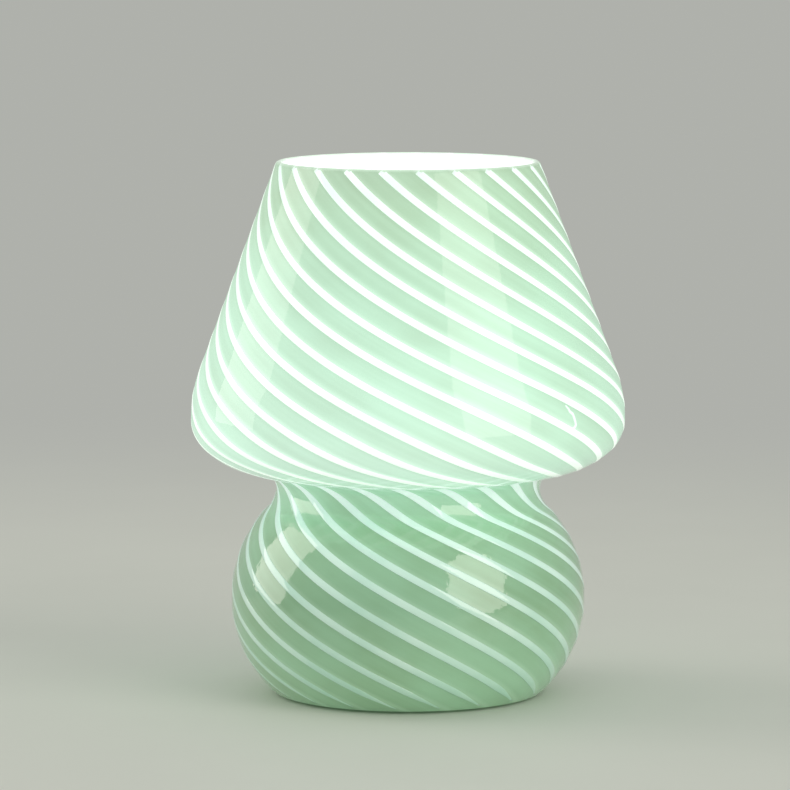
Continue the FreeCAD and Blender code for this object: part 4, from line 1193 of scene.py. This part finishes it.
def ring_nut(name, node, seat, away):
    """A flange that lies on the plate and a collar with a ring of grip ridges."""
    def at(up):
        return seat + away * up
    nut = spun(name, rounded([
        (nut_bore, at(0.0)), (nut_flange, at(0.0), 0.3), (nut_flange, at(flange_thickness), 0.5),
        (nut_collar, at(flange_thickness), 0.3), (nut_collar, at(nut_height), 0.7),
        (nut_bore, at(nut_height), 0.4)]))
    dress(nut, "lamp", "white_plastic", node, material=white_plastic)
    low, high = sorted((at(1.5), at(5.5)))
    ridge = spun(name + "_ridge", rounded([
        (0.0, low), (ridge_radius, low, 0.3), (ridge_radius, high, 0.5), (0.0, high)]), columns=12)
    grip = ring_of(name + "_grip", moved(ridge, nut_collar - 0.05), ridge_count, white_plastic)
    dress(grip, "lamp", "white_plastic", node)


plate_low, plate_top = heights(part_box("neck_plate"))
ring_nut("top_nut", "upper_ring_nut", plate_top, 1)
ring_nut("under_nut", "lower_ring_nut", plate_low, -1)

# %% [markdown]
# ## Pads, rivets, screws and grommet
#
# These are the smallest parts. The pads keep the glass a little off the table, which draws the
# thin dark line under the foot. The rivets hold the spring clips to the plate, and the two
# slotted screws hold the wires in the holder.

# %% Pads, rivets and screws
pad_radius, pad_circle, pad_top = 4.5, 34.0, foot_height / mm
pad = spun("pad", rounded([
    (0.0, 0.0), (pad_radius, 0.0, 0.35), (pad_radius, pad_top, 0.15), (0.0, pad_top)]), columns=40)
pads = ring_of("clear_pads", moved(pad, pad_circle), 4, clear_rubber, start=math.radians(45))
dress(pads, "lamp", "clear_rubber", "foot_pads")

rivet_low, rivet_high = heights(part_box("clip_rivets"))
rivet_circle, rivet_head, rivet_dome, rivet_shank = 32.7, 2.8, 1.9, 1.5
rivet_seat = rivet_low + 0.9
rivet = spun("rivet", rounded([
    (0.0, rivet_low), (rivet_dome, rivet_low, 1.2), (rivet_head, rivet_seat, 0.1),
    (rivet_shank, rivet_seat), (rivet_shank, plate_top), (rivet_head, plate_top, 0.1),
    (rivet_dome, rivet_high, 1.2), (0.0, rivet_high)]), columns=32)
rivets = ring_of("domed_rivets", moved(rivet, rivet_circle), 3, aluminium)
dress(rivets, "lamp", "rivet_aluminium", "clip_rivets")

screw_low, screw_high = heights(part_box("terminal_screws"))
screw_place, screw_head, screw_shank = 6.5, 2.1, 1.4
screw_seat = screw_low + 1.3
slot_length, slot_width, slot_height = 5 * mm, 0.6 * mm, 1.2 * mm
screw = spun("screw", rounded([
    (0.0, screw_low), (screw_head, screw_low, 0.35), (screw_head, screw_seat, 0.1),
    (screw_shank, screw_seat), (screw_shank, screw_high), (0.0, screw_high)]), columns=32)
slot_bar = bmesh.new()
bmesh.ops.create_cube(slot_bar, size=1.0)
bmesh.ops.scale(slot_bar, verts=slot_bar.verts, vec=(slot_length, slot_width, slot_height))
bmesh.ops.translate(slot_bar, verts=slot_bar.verts, vec=(0, 0, screw_low * mm))
cut_away(screw, from_bmesh("slot_bar", slot_bar))
screws = ring_of("slotted_screws", moved(screw, screw_place), 2, screw_steel)
dress(screws, "lamp", "screw_steel", "terminal_screws")

# %% The grommet
lead_bore, groove_radius, lip_radius = 3.1, 4.9, 7.0
inner_end, inner_lip, outer_lip, outer_end = -4.7, -3.3, 0.05, 1.45
grommet = spun("lead_grommet", rounded([
    (lead_bore, inner_end, 0.5), (lip_radius, inner_end, 0.7), (lip_radius, inner_lip, 0.3),
    (groove_radius, inner_lip), (groove_radius, outer_lip), (lip_radius, outer_lip, 0.2),
    (lip_radius, outer_end, 0.9), (lead_bore, outer_end, 0.6)]), columns=64)
grommet.data.transform(turned_to(hole_out))
grommet.data.transform(Matrix.Translation(hole_point))
dress(grommet, "lamp", "grommet_rubber", "cord_grommet", material=grey_rubber)

# %% [markdown]
# ## Solids that stay
#
# Some solids already have their right shape: the plate, its gasket and clips, the holder's
# core and cover, and the parts inside the bulb. They could be drawn again, but that would only
# copy them, so they keep their meshes and get their finishes here.


# %% Finishes inside the bulb
def light_board():
    """A white board with a faint ring of copper track under its paint."""
    finish = Finish("board_aluminium", Roughness=0.45, Metallic=0.1)
    away, _, _ = round_the_axis(finish)
    track = ((away - 9.4 * mm).math("ABSOLUTE") * 1000.0).between(1.9, 2.2, 1.0, 0.0)
    white = finish.mixed(finish.clouds(90.0, detail=2.0), srgb(236, 237, 236), srgb(226, 227, 226))
    finish.send("Base Color", finish.mixed(track * 0.5, white, srgb(214, 208, 190)))
    finish.bump(track, 0.03 * mm)
    return finish.material


def light_chip():
    """Yellow phosphor that glows, in fine grains of two shades."""
    finish = Finish("light_chips", Roughness=0.5, Emission_Strength=0.9)
    grains = finish.clouds(2200.0, detail=2.0).between(0.3, 0.7)
    finish.send("Base Color", finish.mixed(grains, srgb(236, 200, 92), srgb(248, 224, 128)))
    glow = finish.mixed(grains, (0.9, 0.72, 0.36, 1.0), (1.0, 0.86, 0.55, 1.0))
    finish.send("Emission Color", glow)
    finish.bump(grains, 0.02 * mm)
    return finish.material


def circuit_board():
    """Green board with lighter tracks that show through the lacquer."""
    finish = Finish("circuit_board", Roughness=0.35, Coat_Weight=0.5, Coat_Roughness=0.1)
    cells = finish.step("ShaderNodeTexVoronoi", {"Vector": finish.place, "Scale": 420.0},
                        feature="F1", distance="MANHATTAN")
    tracks = cells.between(0.25, 0.32)
    finish.send("Base Color", finish.mixed(tracks, srgb(60, 132, 74), srgb(34, 92, 50)))
    finish.bump(tracks, 0.03 * mm)
    return finish.material


def sleeved_can():
    """The capacitor's plastic sleeve, with a pale stripe down one side."""
    finish = Finish("can_aluminium", Roughness=0.35, Coat_Weight=0.3)
    x = finish.axes_of(finish.place)[0]
    stripe = (x.math("ABSOLUTE") * 1000.0).between(0.7, 0.9, 1.0, 0.0)
    base = finish.mixed(finish.clouds(300.0, detail=2.0), srgb(38, 46, 66), srgb(50, 58, 80))
    finish.send("Base Color", finish.mixed(stripe, base, srgb(168, 172, 180)))
    finish.bump(finish.clouds(1500.0), 0.01 * mm)
    return finish.material


kept = {
    "neck_plate": enamel, "plate_gasket": gasket_rubber, "spring_clips": steel,
    "holder_core": insulation, "holder_cover": white_plastic, "centre_contact": brass,
    "terminal_blocks": brass, "led_board": light_board(), "led_chips": light_chip(),
    "driver_board": circuit_board(), "driver_capacitor": sleeved_can(),
}
for node, material in kept.items():
    paint(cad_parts[node], material)
print(len(kept), "solids keep their mesh")

# %% [markdown]
# ## Light, floor and size
#
# A room's even light comes from the world, and two large softboxes stand where the windows
# are, to the right of the camera and far to the left. They could be small and strong, but
# large ones give the tall soft-edged reflections that show how round the glass is. The floor
# is pale and plain, and a little of the lamp's own light falls on it.


# %% Softboxes and room light
window_colour = (1.0, 0.90, 0.86)
window_height, window_distance = 1.5, 1.6
window_elevation = math.radians(18)
lamp_middle = Vector((0.0, 0.0, 0.09))


def softbox(name, azimuth, width, radiance):
    """A tall light that faces the lamp; azimuth is from the front, towards the right."""
    light = bpy.data.lights.new(name, "AREA")
    light.shape = "RECTANGLE"
    light.size, light.size_y = width, window_height
    light.energy = radiance * math.pi * width * window_height
    light.color = window_colour
    box = as_object(name, light)
    around, level = math.radians(azimuth), math.cos(window_elevation)
    toward = Vector((math.sin(around) * level, -math.cos(around) * level,
                     math.sin(window_elevation)))
    box.location = lamp_middle + toward * window_distance
    box.rotation_euler = (-toward).to_track_quat("-Z", "Y").to_euler()


softbox("right_window", azimuth=48, width=1.1, radiance=2.2)
softbox("left_window", azimuth=-104, width=1.0, radiance=2.0)

room_colour = (0.60, 0.60, 0.59, 1.0)
backdrop_colour = (0.43, 0.44, 0.41, 1.0)


def seen_directly(tree):
    """1 where the camera, a reflection or a clear piece looks, and 0 for the light itself."""
    path = add_node(tree, "ShaderNodeLightPath").outputs
    looks = Number(tree, path["Is Camera Ray"]) + path["Is Glossy Ray"] + path["Is Transmission Ray"]
    return looks.math("MINIMUM", 1.0)


world = bpy.data.worlds.new("studio")
scene.world = world
world.use_nodes = True
room = Draft(world.node_tree)
tint = room.mixed(seen_directly(room.tree), room_colour, backdrop_colour)
join(room.tree, tint, room.tree.nodes["Background"].inputs["Color"])
print("two softboxes and an even room light")

# %% [markdown]
# A floor ends in a horizon, which would cross the picture from the side. A curved backdrop
# hides it in a studio. Here the floor itself fades into the backdrop's colour far from the
# lamp, so that every view has the same plain ground, and only the near part takes the shadow.


# %% A plain pale floor
floor_radius = 30.0
fade_start, fade_end = 0.28, 0.85
floor_mesh = bmesh.new()
bmesh.ops.create_circle(floor_mesh, cap_ends=True, segments=64, radius=floor_radius)
floor = from_bmesh("floor", floor_mesh)
floor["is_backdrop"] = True
ground = Finish("floor", Roughness=0.6)
patches = ground.clouds(14.0, detail=3.0)
ground.send("Base Color", ground.mixed(patches, srgb(212, 217, 208), srgb(207, 212, 203)))
away = ground.step("ShaderNodeVectorMath", {0: ground.place}, output="Value", operation="LENGTH")
far = away.between(fade_start, fade_end) * seen_directly(ground.tree)
backdrop = ground.step("ShaderNodeEmission", {"Color": backdrop_colour, "Strength": 1.0})
surface = ground.step("ShaderNodeMixShader", {0: far, 1: ground.shader.outputs[0], 2: backdrop})
join(ground.tree, surface, ground.tree.nodes["Material Output"].inputs["Surface"])
paint(floor, ground.material)
print("floor in place")

# %% Compare sizes and finish
dressed_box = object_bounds()
for name, (low, high) in (("solid", solid_box), ("dressed", dressed_box)):
    print(name, [round((b - a) / mm, 1) for a, b in zip(low, high)], "mm")
